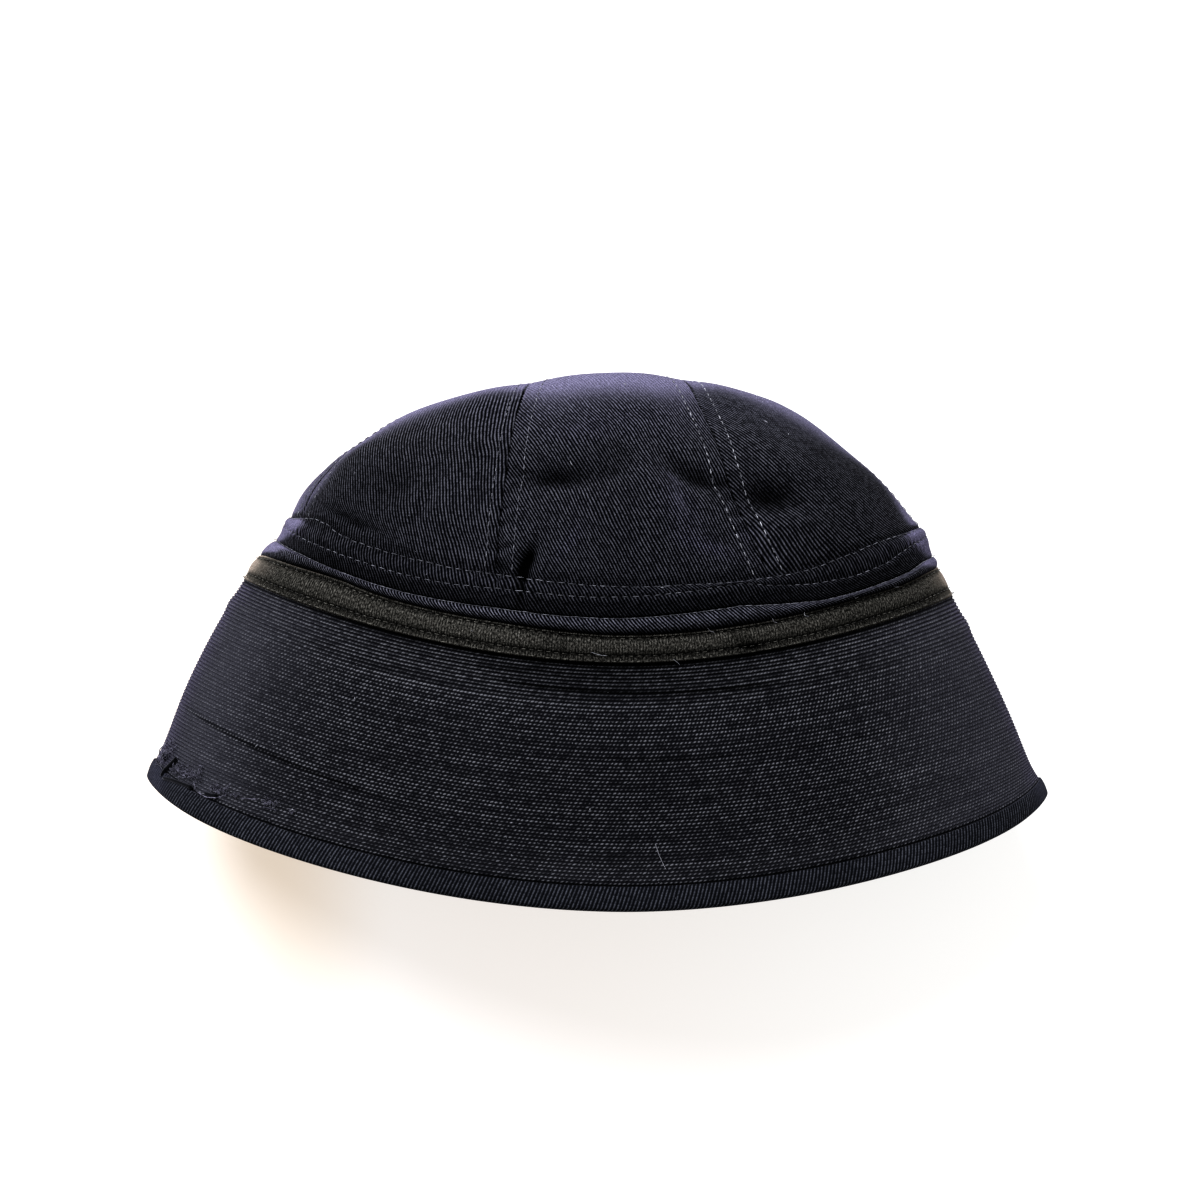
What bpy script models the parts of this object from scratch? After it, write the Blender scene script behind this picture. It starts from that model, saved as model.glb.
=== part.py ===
"""Sailor cap of six twill panels with a stitched hem band, a rolled strip, a head tape and a
wide quilted brim, lying on its back.

The cap lies with its opening towards -Y and the top of its crown towards +Y. Its front faces
up, and its back is flat on the ground where it rests. Lengths in the tables and constants are
millimetres; the finished objects are in metres.

Two parameters run over the cloth. "turn" goes once round the cap from 0 to 1, from the middle
of the front, over the right fold, the back and the left fold. "rise" goes from the brim's edge
(0) over the head tape (1) to the point of the crown.
"""

import math

import bmesh
import bpy
import numpy as np

MM = 0.001

# ---- driving sizes -------------------------------------------------------------------------

PANEL_COUNT = 6
PANEL_WALL = 1.2
BAND_WALL = 1.0
TAPE_WALL = 1.0
BRIM_WALL = 2.0
BINDING_WALL = 0.9
SEAM_GAP = 0.55           # free gap between neighbouring panels
LAYER_GAP = 0.35          # free gap between cloth layers that lie on each other

FRONT_SEAM_TURN = -0.066  # the seam left of the cap's middle
SEAM_PULL = 0.9           # how far a seam is drawn in below the panels beside it
SEAM_PULL_WIDTH = 9.0
FRONT_VERTEX_X = 9.0      # where the arcs of the front reach lowest
ARC_POWER = 1.88
CORNER_LIFT = 5.5         # rounding of the brim's edge at its two side folds
CORNER_LIFT_RISE = 0.16
SINK = 3.0                # how much of the round back is pressed flat
CENTRE_X = -0.95          # middle of the cap's box, measured from the tables' zero
CENTRE_Y = -11.13

# ---- shape tables --------------------------------------------------------------------------

# A row for each section round the cap: x of its left and right fold, y and height of the folds,
# place of the middle of the front, y of the middle of the back, and height over the ground.
SECTION_COLUMNS = (
    "rise", "left_x", "right_x", "left_y", "right_y", "side_z",
    "front_x", "front_y", "front_z", "back_y", "stand",
)
SECTIONS = (
    # brim, from its edge to the head tape
    (0.00, -156.3, 154.4, -65.9, -71.8, 38.0, 3.0, -98.7, 110.0, -99.0, 1.2),
    (0.50, -143.0, 141.6, -28.1, -37.8, 36.0, 2.0, -60.5, 102.0, -60.0, 1.3),
    (1.00, -123.7, 122.5, 7.3, 1.6, 34.0, 1.0, -20.5, 95.0, -20.0, 1.3),
    # tape, roll and hem band
    (1.12, -118.6, 117.3, 15.0, 11.4, 33.0, 1.0, -11.4, 96.0, -11.0, 1.3),
    (1.20, -112.6, 115.2, 20.5, 15.6, 33.0, 0.0, -6.2, 96.5, -6.0, 1.3),
    (1.34, -107.9, 111.8, 29.1, 25.3, 33.0, 0.0, 3.9, 97.0, 3.0, 1.3),
    # crown, from the hem band to its point
    (1.48, -104.3, 108.6, 37.0, 30.4, 31.0, -1.0, 24.0, 97.0, 12.0, 0.0),
    (1.63, -98.1, 100.7, 44.6, 40.3, 28.0, -1.5, 46.2, 88.0, 22.0, 0.0),
    (1.77, -88.0, 91.3, 53.6, 49.2, 25.0, -2.5, 63.8, 72.0, 32.0, 0.0),
    (1.90, -68.7, 71.6, 65.0, 64.9, 20.0, -3.0, 77.8, 52.0, 40.0, 0.0),
    (2.01, -50.6, 57.5, 65.9, 70.3, 14.0, -3.0, 75.8, 33.0, 47.0, 0.0),
    (2.12, -25.1, 27.8, 63.0, 62.8, 8.0, -2.0, 76.4, 14.0, 52.0, 0.0),
    (2.24, -1.3, 1.3, 58.0, 58.0, 3.8, 0.0, 59.0, 4.6, 57.0, 2.6),
)

# Where the two seams of the front leave their even spacing, in millimetres round the cap.
SEAM_DRIFT_COLUMNS = ("rise", "left", "right")
SEAM_DRIFTS = (
    (1.20, 0.0, 5.0),
    (1.34, 0.0, 4.0),
    (1.48, 1.5, -1.0),
    (1.63, 2.0, -4.0),
    (1.77, 2.0, -4.0),
    (1.90, 1.0, -2.0),
    (2.24, 0.0, 0.0),
)

# Dents and soft folds of the front, seen from above: place, half-lengths, turn and depth.
DENT_COLUMNS = ("name", "x", "y", "along", "across", "degrees", "depth")
DENTS = (
    ("seam pinch", -11.5, 41.3, 15.0, 4.5, 0.0, 2.6),
    ("pinch end", 8.0, 46.0, 9.0, 4.5, 30.0, 1.6),
    ("right seam fold", 32.0, 41.6, 12.0, 4.5, -27.0, 2.6),
    ("right hollow", 56.4, 34.4, 11.0, 6.5, -5.0, 3.2),
    ("front facet", 25.6, 30.0, 11.0, 6.0, -70.0, -2.2),
    ("low left fold", -23.3, 13.0, 7.0, 3.0, 72.0, 2.0),
    ("left crease", -83.0, 26.0, 13.0, 3.5, -25.0, 1.8),
    ("left hollow", -68.0, 40.0, 12.0, 9.0, 10.0, 2.0),
    ("left low hollow", -45.0, 18.0, 8.0, 6.0, 0.0, 1.4),
    ("band hollow", -3.0, -2.0, 11.0, 3.0, 0.0, 1.0),
    ("right band hollow", 70.0, 6.0, 12.0, 4.0, 18.0, 0.9),
)

# Ring-shaped folds of the cloth: rise, half-width in rise, and height.
RING_FOLD_COLUMNS = ("name", "rise", "half_width", "height")
RING_FOLDS = (
    ("brim crease", 0.88, 0.035, 0.5),
    ("hem groove", 1.335, 0.02, -0.4),
)

# Section of the binding: distance out of the brim's surface, rise, and distance past the edge.
BINDING_RISE = 0.085
BINDING_INNER = -BRIM_WALL - LAYER_GAP
BINDING_COLUMNS = ("out", "rise", "past")
BINDING_SECTION = (
    (LAYER_GAP + BINDING_WALL, BINDING_RISE, 0.0),
    (LAYER_GAP + BINDING_WALL, 0.0, 0.4),
    (-0.2, 0.0, 0.35 + BINDING_WALL),
    (BINDING_INNER + 0.5, 0.0, 0.35 + BINDING_WALL),
    (BINDING_INNER - BINDING_WALL, 0.0, 0.4),
    (BINDING_INNER - BINDING_WALL, BINDING_RISE, 0.0),
    (BINDING_INNER, BINDING_RISE, 0.0),
    (BINDING_INNER, 0.0, 0.3),
    (LAYER_GAP, 0.0, 0.3),
    (LAYER_GAP, BINDING_RISE, 0.0),
)

# Section of the rolled strip: rise, and distance out of the crown's surface.
ROLL_COLUMNS = ("rise", "out")
ROLL_SECTION = (
    (1.124, LAYER_GAP),
    (1.124, 0.9),
    (1.136, 2.0),
    (1.160, 2.5),
    (1.184, 2.0),
    (1.196, 0.9),
    (1.196, LAYER_GAP),
)

# Rises of the rows of points in each sheet, from its lower edge to its upper one.
BRIM_RISES = (0.0, *np.linspace(BINDING_RISE, 1.0, 7), 1.095)
TAPE_RISES = (1.0, 1.06, 1.118)
BAND_RISES = (1.202, 1.27, 1.335)
PANEL_RISES = (1.101, 1.20, 1.27, 1.335, *np.linspace(1.42, 1.78, 7), *np.linspace(1.86, 2.232, 6))
RING_POINTS = 84

PANEL_TABLE_COLUMNS = ("name", "number", "faces_across")
PANELS = (
    ("crown_panel_front", 0, 11),
    ("crown_panel_right", 1, 11),
    ("crown_panel_back_right", 2, 7),
    ("crown_panel_back", 3, 7),
    ("crown_panel_back_left", 4, 7),
    ("crown_panel_left", 5, 11),
)

# ---- cloth surface -------------------------------------------------------------------------

FRONT_ROUNDNESS = 1.24   # power of the front's arch at the brim: a flattened, slightly peaked oval
BACK_ROUNDNESS = 0.80    # power of the back's arch: flat under the cap, blunt at the folds
FINE = 1440              # points from which a section's length is measured
NEAR = 0.004             # step in turn and in rise over which the surface's slope is taken


def column(table, names, name):
    """The named column of a table of numbers."""
    return np.array([row[names.index(name)] for row in table], float)


def smooth_column(table, names, name, rise):
    """The named column at this rise, on a smooth curve through the table's rows."""
    knots = column(table, names, names[0])
    values = column(table, names, name)
    steps = np.diff(knots)
    slopes = np.diff(values) / steps
    tangents = np.concatenate((
        slopes[:1],
        (slopes[:-1] * steps[1:] + slopes[1:] * steps[:-1]) / (steps[1:] + steps[:-1]),
        slopes[-1:],
    ))
    i = int(np.clip(np.searchsorted(knots, rise, side="right") - 1, 0, len(steps) - 1))
    t = (rise - knots[i]) / steps[i]
    return float(
        (2 * t**3 - 3 * t**2 + 1) * values[i]
        + (t**3 - 2 * t**2 + t) * steps[i] * tangents[i]
        + (3 * t**2 - 2 * t**3) * values[i + 1]
        + (t**3 - t**2) * steps[i] * tangents[i + 1]
    )


def ramp(value, low, high):
    """0 below low, 1 above high, and smooth between them."""
    t = np.clip((value - low) / (high - low), 0.0, 1.0)
    return t * t * (3 - 2 * t)


def section_at(rise):
    """The section's named sizes at this rise."""
    return {
        name: smooth_column(SECTIONS, SECTION_COLUMNS, name, rise)
        for name in SECTION_COLUMNS[1:]
    }


def section_ring(rise):
    """Fine points once round the cap at this rise, from the middle of the front to the right."""
    size = section_at(rise)
    width = size["right_x"] - size["left_x"]
    angle = np.linspace(0.0, 2 * math.pi, FINE + 1)
    across = np.abs(np.sin(angle))
    front = np.cos(angle) >= 0
    right = np.sin(angle) >= 0

    front_power = FRONT_ROUNDNESS + (1.0 - FRONT_ROUNDNESS) * ramp(rise, 1.4, 2.0)
    back_power = BACK_ROUNDNESS + (1.0 - BACK_ROUNDNESS) * ramp(rise, 1.9, 2.2)
    arch = np.abs(np.cos(angle)) ** np.where(front, front_power, back_power)

    fold_x = np.where(right, size["right_x"], size["left_x"])
    x = fold_x * across + size["front_x"] * (1 - across**2)

    vertex = FRONT_VERTEX_X * min(1.0, width / 100)
    beyond = x >= vertex
    reach = (x - vertex) / (np.where(beyond, size["right_x"], size["left_x"]) - vertex)
    fold_y = np.where(beyond, size["right_y"], size["left_y"])
    middle_y = np.where(front, size["front_y"], size["back_y"])
    corner = CORNER_LIFT * math.exp(-((rise / CORNER_LIFT_RISE) ** 2))
    y = middle_y + (fold_y - middle_y) * reach**ARC_POWER + corner * across**14

    pressed = SINK * min(1.0, width / 120)
    top = np.where(front, size["front_z"], -pressed)
    z = np.maximum(size["side_z"] + (top - size["side_z"]) * arch, 0.0) + size["stand"]
    return np.stack((x, y, z), axis=1)


def ring_length(points):
    """Distance walked along a ring of points, starting at 0."""
    steps = np.linalg.norm(np.diff(points, axis=0), axis=1)
    return np.concatenate(([0.0], np.cumsum(steps)))


def even_ring(rise, turns):
    """Points of the section at these turns, and the section's whole length."""
    points = section_ring(rise)
    walked = ring_length(points)
    places = np.mod(turns, 1.0) * walked[-1]
    ring = np.stack([np.interp(places, walked, points[:, k]) for k in range(3)], axis=1)
    return ring, walked[-1]


def fold_spaced_turns(rise):
    """Turns of a ring's points, closer together at the two side folds."""
    walked = ring_length(section_ring(rise))
    picks = np.arange(RING_POINTS) * FINE // RING_POINTS
    return walked[picks] / walked[-1]


def seam_turn(number, rise, length):
    """Turn of a panel seam. Number 0 is the front's left seam and 1 is its right."""
    drift = 0.0
    if number % PANEL_COUNT == 0:
        drift = smooth_column(SEAM_DRIFTS, SEAM_DRIFT_COLUMNS, "left", rise)
    elif number % PANEL_COUNT == 1:
        drift = smooth_column(SEAM_DRIFTS, SEAM_DRIFT_COLUMNS, "right", rise)
    scale = min(1.0, length / 400)
    return FRONT_SEAM_TURN + number / PANEL_COUNT + drift * scale / length


def seam_dip(rise, turns, length):
    """How far the cloth is drawn in near the crown's seams."""
    fade = ramp(rise, 1.3, 1.42) * (1 - ramp(rise, 1.95, 2.15))
    dip = np.zeros_like(turns)
    for number in range(PANEL_COUNT):
        away = np.mod(turns - seam_turn(number, rise, length) + 0.5, 1.0) - 0.5
        dip += SEAM_PULL * fade * np.exp(-((away * length / SEAM_PULL_WIDTH) ** 2))
    return dip


def dent_depth(points):
    """Depth of the front's dents at these points, seen from above."""
    depth = np.zeros(len(points))
    for _, x, y, along, across, degrees, dent in DENTS:
        turn = math.radians(degrees)
        east = points[:, 0] - x
        north = points[:, 1] - y
        forth = (east * math.cos(turn) + north * math.sin(turn)) / along
        side = (north * math.cos(turn) - east * math.sin(turn)) / across
        depth += dent * np.exp(-(forth**2) - side**2)
    return depth * ramp(points[:, 2], 36.0, 60.0)


def ring_fold_height(rise):
    """Height of the ring-shaped folds at this rise."""
    return sum(
        height * math.exp(-(((rise - place) / half_width) ** 2))
        for _, place, half_width, height in RING_FOLDS
    )


def cloth_rows(rises, turns_at, out):
    """Rows of points at this distance out of the cloth's surface.

    There is a row for each of the rises, and turns_at gives a row's turns from its rise.
    """
    rows = []
    for rise in rises:
        turns = turns_at(rise)
        here, length = even_ring(rise, turns)
        ahead = even_ring(rise, turns + NEAR)[0] - even_ring(rise, turns - NEAR)[0]
        up = even_ring(rise + NEAR, turns)[0] - even_ring(rise - NEAR, turns)[0]
        normal = np.cross(ahead, up)
        normal /= np.linalg.norm(normal, axis=1, keepdims=True)
        lifted = ramp(here[:, 2], 5.0, 20.0)
        bump = (ring_fold_height(rise) - seam_dip(rise, turns, length)) * lifted
        bump -= dent_depth(here)
        rows.append(here + normal * (bump + out)[:, None])
    rows = np.array(rows)
    rows[..., 2] = np.maximum(rows[..., 2], 0.0)
    return rows - (CENTRE_X, CENTRE_Y, 0.0)


# ---- solids --------------------------------------------------------------------------------


def loft_faces(sections, points, round_cap):
    """Quads between neighbouring rows of a loft.

    sections is the number of rows and points the number in each. A row joins its own start
    when round_cap is true.
    """
    faces = []
    for i in range(sections - 1):
        for j in range(points if round_cap else points - 1):
            k = (j + 1) % points
            lower, upper = i * points, (i + 1) * points
            faces.append((lower + j, lower + k, upper + k, upper + j))
    return faces


def make_object(name, rows, faces, material, collection):
    """A mesh object from rows of points in millimetres."""
    mesh = bpy.data.meshes.new(name)
    mesh.from_pydata([tuple(point * MM) for point in rows.reshape(-1, 3)], [], faces)
    mesh.shade_smooth()
    mesh.set_sharp_from_angle(angle=math.radians(50))
    mesh.materials.append(material)
    made = bpy.data.objects.new(name, mesh)
    collection.objects.link(made)
    return made


def thicken(made, wall):
    """Gives an open sheet its wall, inwards from the sheet."""
    solidify = made.modifiers.new("wall", "SOLIDIFY")
    solidify.thickness = wall * MM
    solidify.offset = -1.0
    solidify.use_rim = True


def ring_sheet(name, rises, out, wall, material, collection):
    """A cloth strip that goes once round the cap, with a row of points at each rise."""
    turns = fold_spaced_turns((rises[0] + rises[-1]) / 2)
    rows = cloth_rows(rises, lambda rise: turns, out)
    faces = loft_faces(len(rises), RING_POINTS, round_cap=True)
    thicken(make_object(name, rows, faces, material, collection), wall)


def crown_panel(name, number, faces_across, material, collection):
    """One tapered panel of the crown, from behind the head tape to the crown's point."""
    even = np.linspace(0.0, 1.0, faces_across + 1)
    spread = 0.5 * even + 0.25 * (1 - np.cos(math.pi * even))

    def turns_at(rise):
        length = even_ring(rise, np.zeros(1))[1]
        inset = SEAM_GAP / 2 / length
        start = seam_turn(number, rise, length) + inset
        end = seam_turn(number + 1, rise, length) - inset
        return start + (end - start) * spread

    rows = cloth_rows(PANEL_RISES, turns_at, 0.0)
    faces = loft_faces(len(PANEL_RISES), len(even), round_cap=False)
    thicken(make_object(name, rows, faces, material, collection), PANEL_WALL)


def close_ring(made):
    """Turns the faces of a closed ring so that they all point out."""
    shape = bmesh.new()
    shape.from_mesh(made.data)
    bmesh.ops.recalc_face_normals(shape, faces=shape.faces)
    shape.to_mesh(made.data)
    shape.free()


def ring_solid(name, rows, material, collection):
    """A solid ring from the rows that run along the corners of its section."""
    faces = loft_faces(len(rows) + 1, RING_POINTS, round_cap=True)
    wrapped = [tuple(corner % rows[..., 0].size for corner in face) for face in faces]
    close_ring(make_object(name, rows, wrapped, material, collection))


def rolled_strip(material, collection):
    """The plump rolled strip above the head tape."""
    turns = fold_spaced_turns(ROLL_SECTION[3][0])
    rows = [cloth_rows([rise], lambda rise: turns, out)[0] for rise, out in ROLL_SECTION]
    ring_solid("rolled_strip", np.array(rows), material, collection)


def brim_binding(material, collection):
    """The folded cloth channel that clasps the brim's edge."""
    turns = fold_spaced_turns(0.0)
    rows = []
    for out, rise, past in BINDING_SECTION:
        here = cloth_rows([rise], lambda rise: turns, out)[0]
        above = cloth_rows([BINDING_RISE], lambda rise: turns, out)[0]
        down = here - above
        length = np.linalg.norm(down, axis=1, keepdims=True)
        rows.append(here + down * past / np.maximum(length, 1.0))
    rows = np.array(rows)
    rows[..., 2] = np.maximum(rows[..., 2], 0.0)
    ring_solid("brim_binding", rows, material, collection)


# ---- finishes ------------------------------------------------------------------------------

CLOTH_COLUMNS = ("name", "colour", "roughness")
CLOTHS = (
    ("navy twill", (0.013, 0.014, 0.026, 1.0), 0.85),
    ("quilted navy", (0.020, 0.021, 0.030, 1.0), 0.92),
    ("olive black tape", (0.024, 0.024, 0.018, 1.0), 0.90),
    ("binding twill", (0.015, 0.017, 0.030, 1.0), 0.85),
)


def make_cloth(name, colour, roughness):
    """A matt cloth material."""
    material = bpy.data.materials.new(name)
    material.use_nodes = True
    shader = material.node_tree.nodes["Principled BSDF"]
    shader.inputs["Base Color"].default_value = colour
    shader.inputs["Roughness"].default_value = roughness
    shader.inputs["Metallic"].default_value = 0.0
    material.diffuse_color = colour
    return material


def clear_scene():
    """Removes every object that is in the file."""
    for item in list(bpy.data.objects):
        bpy.data.objects.remove(item, do_unlink=True)


def build_cap():
    """Builds every piece of the cap in its own collection."""
    clear_scene()
    collection = bpy.data.collections.new("sailor_cap")
    bpy.context.scene.collection.children.link(collection)
    cloth = {row[0]: make_cloth(*row) for row in CLOTHS}

    twill = cloth["navy twill"]
    ring_sheet("brim", BRIM_RISES, 0.0, BRIM_WALL, cloth["quilted navy"], collection)
    brim_binding(cloth["binding twill"], collection)
    tape_out = LAYER_GAP + TAPE_WALL
    ring_sheet("head_tape", TAPE_RISES, tape_out, TAPE_WALL, cloth["olive black tape"], collection)
    rolled_strip(twill, collection)
    ring_sheet("hem_band", BAND_RISES, LAYER_GAP + BAND_WALL, BAND_WALL, twill, collection)
    for name, number, faces_across in PANELS:
        crown_panel(name, number, faces_across, twill, collection)


build_cap()
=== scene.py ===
"""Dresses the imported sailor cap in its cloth, stitches and light.

The cap lies on its back, with its opening towards -Y, and the camera looks straight down on it.
Two parameters run over the cloth, as in the part's source. "turn" goes once round the cap from 0
to 1, from the middle of the front, over the right fold, the back and the left fold. "rise" goes
from the brim's edge (0) over the head tape (1) to the point of the crown. Lengths here are
millimetres unless a name says otherwise, and every mesh is made in metres.
"""

import logging
import math
from collections.abc import Callable, Sequence
from dataclasses import dataclass, field
from enum import Enum

import bpy
import numpy as np
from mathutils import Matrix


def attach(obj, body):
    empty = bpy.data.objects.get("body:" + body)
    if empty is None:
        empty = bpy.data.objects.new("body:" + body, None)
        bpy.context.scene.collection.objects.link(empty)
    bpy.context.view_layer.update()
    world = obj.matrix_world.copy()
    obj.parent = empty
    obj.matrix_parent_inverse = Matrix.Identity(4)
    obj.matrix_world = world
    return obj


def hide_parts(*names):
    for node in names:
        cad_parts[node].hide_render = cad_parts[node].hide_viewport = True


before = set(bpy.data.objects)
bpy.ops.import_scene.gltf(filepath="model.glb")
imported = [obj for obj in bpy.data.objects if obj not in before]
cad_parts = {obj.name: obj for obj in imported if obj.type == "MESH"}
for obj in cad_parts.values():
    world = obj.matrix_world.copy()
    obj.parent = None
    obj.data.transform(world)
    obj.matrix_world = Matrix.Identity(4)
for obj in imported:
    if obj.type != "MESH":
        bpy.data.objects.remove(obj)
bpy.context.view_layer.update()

LOG = logging.getLogger("sailor_cap")

MM = 0.001
BODY = "root"
SEED = 7
SHARP_ANGLE = math.radians(60.0)
Array = np.ndarray
Colour = tuple[float, float, float]


# ---- camera ---------------------------------------------------------------------------------


@dataclass(frozen=True)
class Viewpoint:
    """Where the photograph was taken from, straight above the table."""

    east: float = 0.95
    north: float = 11.13
    height: float = 985.0
    focal_px: float = 2727.0
    frame_px: float = 1200.0
    sensor: float = 36.0

    def pixel(self, points: Array) -> Array:
        """Photograph pixels of points of the cap.

        Args:
            points: points in millimetres, in the last axis.

        Returns:
            The pixels' x and y, in the last axis.
        """
        scale = self.focal_px / (self.height - points[..., 2])
        x = self.frame_px / 2 + (points[..., 0] - self.east) * scale
        y = self.frame_px / 2 - (points[..., 1] - self.north) * scale
        return np.stack((x, y), axis=-1)

    def build(self) -> None:
        """Makes the camera and gives it to the scene."""
        data = bpy.data.cameras.new("view_from_above")
        data.sensor_width = self.sensor
        data.lens = self.sensor * self.focal_px / self.frame_px
        data.clip_start = 0.05
        camera = bpy.data.objects.new("view_from_above", data)
        camera.location = (self.east * MM, self.north * MM, self.height * MM)
        bpy.context.scene.collection.objects.link(camera)
        bpy.context.scene.camera = camera


@dataclass(frozen=True)
class Studio:
    """The pale table and the soft light."""

    floor_size: float = 6.0
    floor_drop: float = 0.0004
    key_place: tuple[float, float, float] = (-0.62, 1.25, 1.35)
    key_size: float = 1.3
    key_power: float = 48.0
    key_colour: Colour = (0.93, 0.95, 1.0)
    fill_strength: float = 0.38
    fill_colour: Colour = (0.96, 0.98, 1.0)

    def build(self) -> None:
        """Makes the floor, the window-like key light and the even fill."""
        self.build_floor()
        self.build_key()
        self.build_fill()
        bpy.context.scene.view_settings.view_transform = "Standard"
        bpy.context.scene.view_settings.look = "High Contrast"

    def build_floor(self) -> None:
        """The table that the cap lies on."""
        bpy.ops.mesh.primitive_plane_add(size=self.floor_size, location=(0, 0, -self.floor_drop))
        floor = bpy.context.active_object
        floor.name = "table_top"
        floor.data.materials.append(GlowingTableWithPaintedShadow().build())

    def build_key(self) -> None:
        """A round soft light from behind and the left, turned towards the cap."""
        lamp = bpy.data.lights.new("soft_key", "AREA")
        lamp.shape = "DISK"
        lamp.size = self.key_size
        lamp.energy = self.key_power
        lamp.color = self.key_colour
        key = bpy.data.objects.new("soft_key", lamp)
        key.location = self.key_place
        towards = -np.array(self.key_place)
        tilt = math.atan2(math.hypot(towards[0], towards[1]), -towards[2])
        key.rotation_euler = (tilt, 0.0, math.atan2(towards[1], towards[0]) - math.pi / 2)
        bpy.context.scene.collection.objects.link(key)

    def build_fill(self) -> None:
        """Even light from all round."""
        world = bpy.data.worlds.new("even_fill")
        world.use_nodes = True
        back = world.node_tree.nodes["Background"]
        back.inputs["Color"].default_value = (*self.fill_colour, 1.0)
        back.inputs["Strength"].default_value = self.fill_strength
        bpy.context.scene.world = world


# ---- the cloth's surface --------------------------------------------------------------------


@dataclass(frozen=True)
class Section:
    """Sizes of one section round the cap, at its rise."""

    rise: float
    left_x: float
    right_x: float
    left_y: float
    right_y: float
    side_z: float
    front_x: float
    front_y: float
    front_z: float
    back_y: float
    stand: float


SECTIONS = (
    # brim, from its edge to the head tape
    Section(0.00, -156.3, 154.4, -65.9, -71.8, 38.0, 3.0, -98.7, 110.0, -99.0, 1.2),
    Section(0.50, -143.0, 141.6, -28.1, -37.8, 36.0, 2.0, -60.5, 102.0, -60.0, 1.3),
    Section(1.00, -123.7, 122.5, 7.3, 1.6, 34.0, 1.0, -20.5, 95.0, -20.0, 1.3),
    # tape, roll and hem band
    Section(1.12, -118.6, 117.3, 15.0, 11.4, 33.0, 1.0, -11.4, 96.0, -11.0, 1.3),
    Section(1.20, -112.6, 115.2, 20.5, 15.6, 33.0, 0.0, -6.2, 96.5, -6.0, 1.3),
    Section(1.34, -107.9, 111.8, 29.1, 25.3, 33.0, 0.0, 3.9, 97.0, 3.0, 1.3),
    # crown, from the hem band to its point
    Section(1.48, -104.3, 108.6, 37.0, 30.4, 31.0, -1.0, 24.0, 97.0, 12.0, 0.0),
    Section(1.63, -98.1, 100.7, 44.6, 40.3, 28.0, -1.5, 46.2, 88.0, 22.0, 0.0),
    Section(1.77, -88.0, 91.3, 53.6, 49.2, 25.0, -2.5, 63.8, 72.0, 32.0, 0.0),
    Section(1.90, -68.7, 71.6, 65.0, 64.9, 20.0, -3.0, 77.8, 52.0, 40.0, 0.0),
    Section(2.01, -50.6, 57.5, 65.9, 70.3, 14.0, -3.0, 75.8, 33.0, 47.0, 0.0),
    Section(2.12, -25.1, 27.8, 63.0, 62.8, 8.0, -2.0, 76.4, 14.0, 52.0, 0.0),
    Section(2.24, -1.3, 1.3, 58.0, 58.0, 3.8, 0.0, 59.0, 4.6, 57.0, 2.6),
)


@dataclass(frozen=True)
class SeamDrift:
    """How far the front's two seams leave their even spacing, in millimetres round the cap."""

    rise: float
    left: float
    right: float


SEAM_DRIFTS = (
    SeamDrift(1.20, 0.0, 5.0),
    SeamDrift(1.34, 0.0, 4.0),
    SeamDrift(1.48, 1.5, -1.0),
    SeamDrift(1.63, 2.0, -4.0),
    SeamDrift(1.77, 2.0, -4.0),
    SeamDrift(1.90, 1.0, -2.0),
    SeamDrift(2.24, 0.0, 0.0),
)


@dataclass(frozen=True)
class Dent:
    """A dent or soft fold of the front, seen from above: place, half-lengths, turn and depth."""

    x: float
    y: float
    along: float
    across: float
    degrees: float
    depth: float

    def depth_at(self, east: Array, north: Array) -> Array:
        """Depth of the dent at these places of the tables' plan."""
        turn = math.radians(self.degrees)
        forth = ((east - self.x) * math.cos(turn) + (north - self.y) * math.sin(turn)) / self.along
        side = ((north - self.y) * math.cos(turn) - (east - self.x) * math.sin(turn)) / self.across
        return self.depth * np.exp(-(forth**2) - side**2)


DENTS = (
    Dent(-11.5, 41.3, 15.0, 4.5, 0.0, 2.6),      # pinch at the left seam
    Dent(8.0, 46.0, 9.0, 4.5, 30.0, 1.6),        # its upper end
    Dent(32.0, 41.6, 12.0, 4.5, -27.0, 2.6),     # fold at the right seam
    Dent(56.4, 34.4, 11.0, 6.5, -5.0, 3.2),      # hollow beside it
    Dent(25.6, 30.0, 11.0, 6.0, -70.0, -2.2),    # raised facet
    Dent(-23.3, 13.0, 7.0, 3.0, 72.0, 2.0),      # low fold at the left seam
    Dent(-83.0, 26.0, 13.0, 3.5, -25.0, 1.8),    # crease above the band's left
    Dent(-68.0, 40.0, 12.0, 9.0, 10.0, 2.0),
    Dent(-45.0, 18.0, 8.0, 6.0, 0.0, 1.4),
    Dent(-3.0, -2.0, 11.0, 3.0, 0.0, 1.0),       # hollows of the band
    Dent(70.0, 6.0, 12.0, 4.0, 18.0, 0.9),
)

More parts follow.
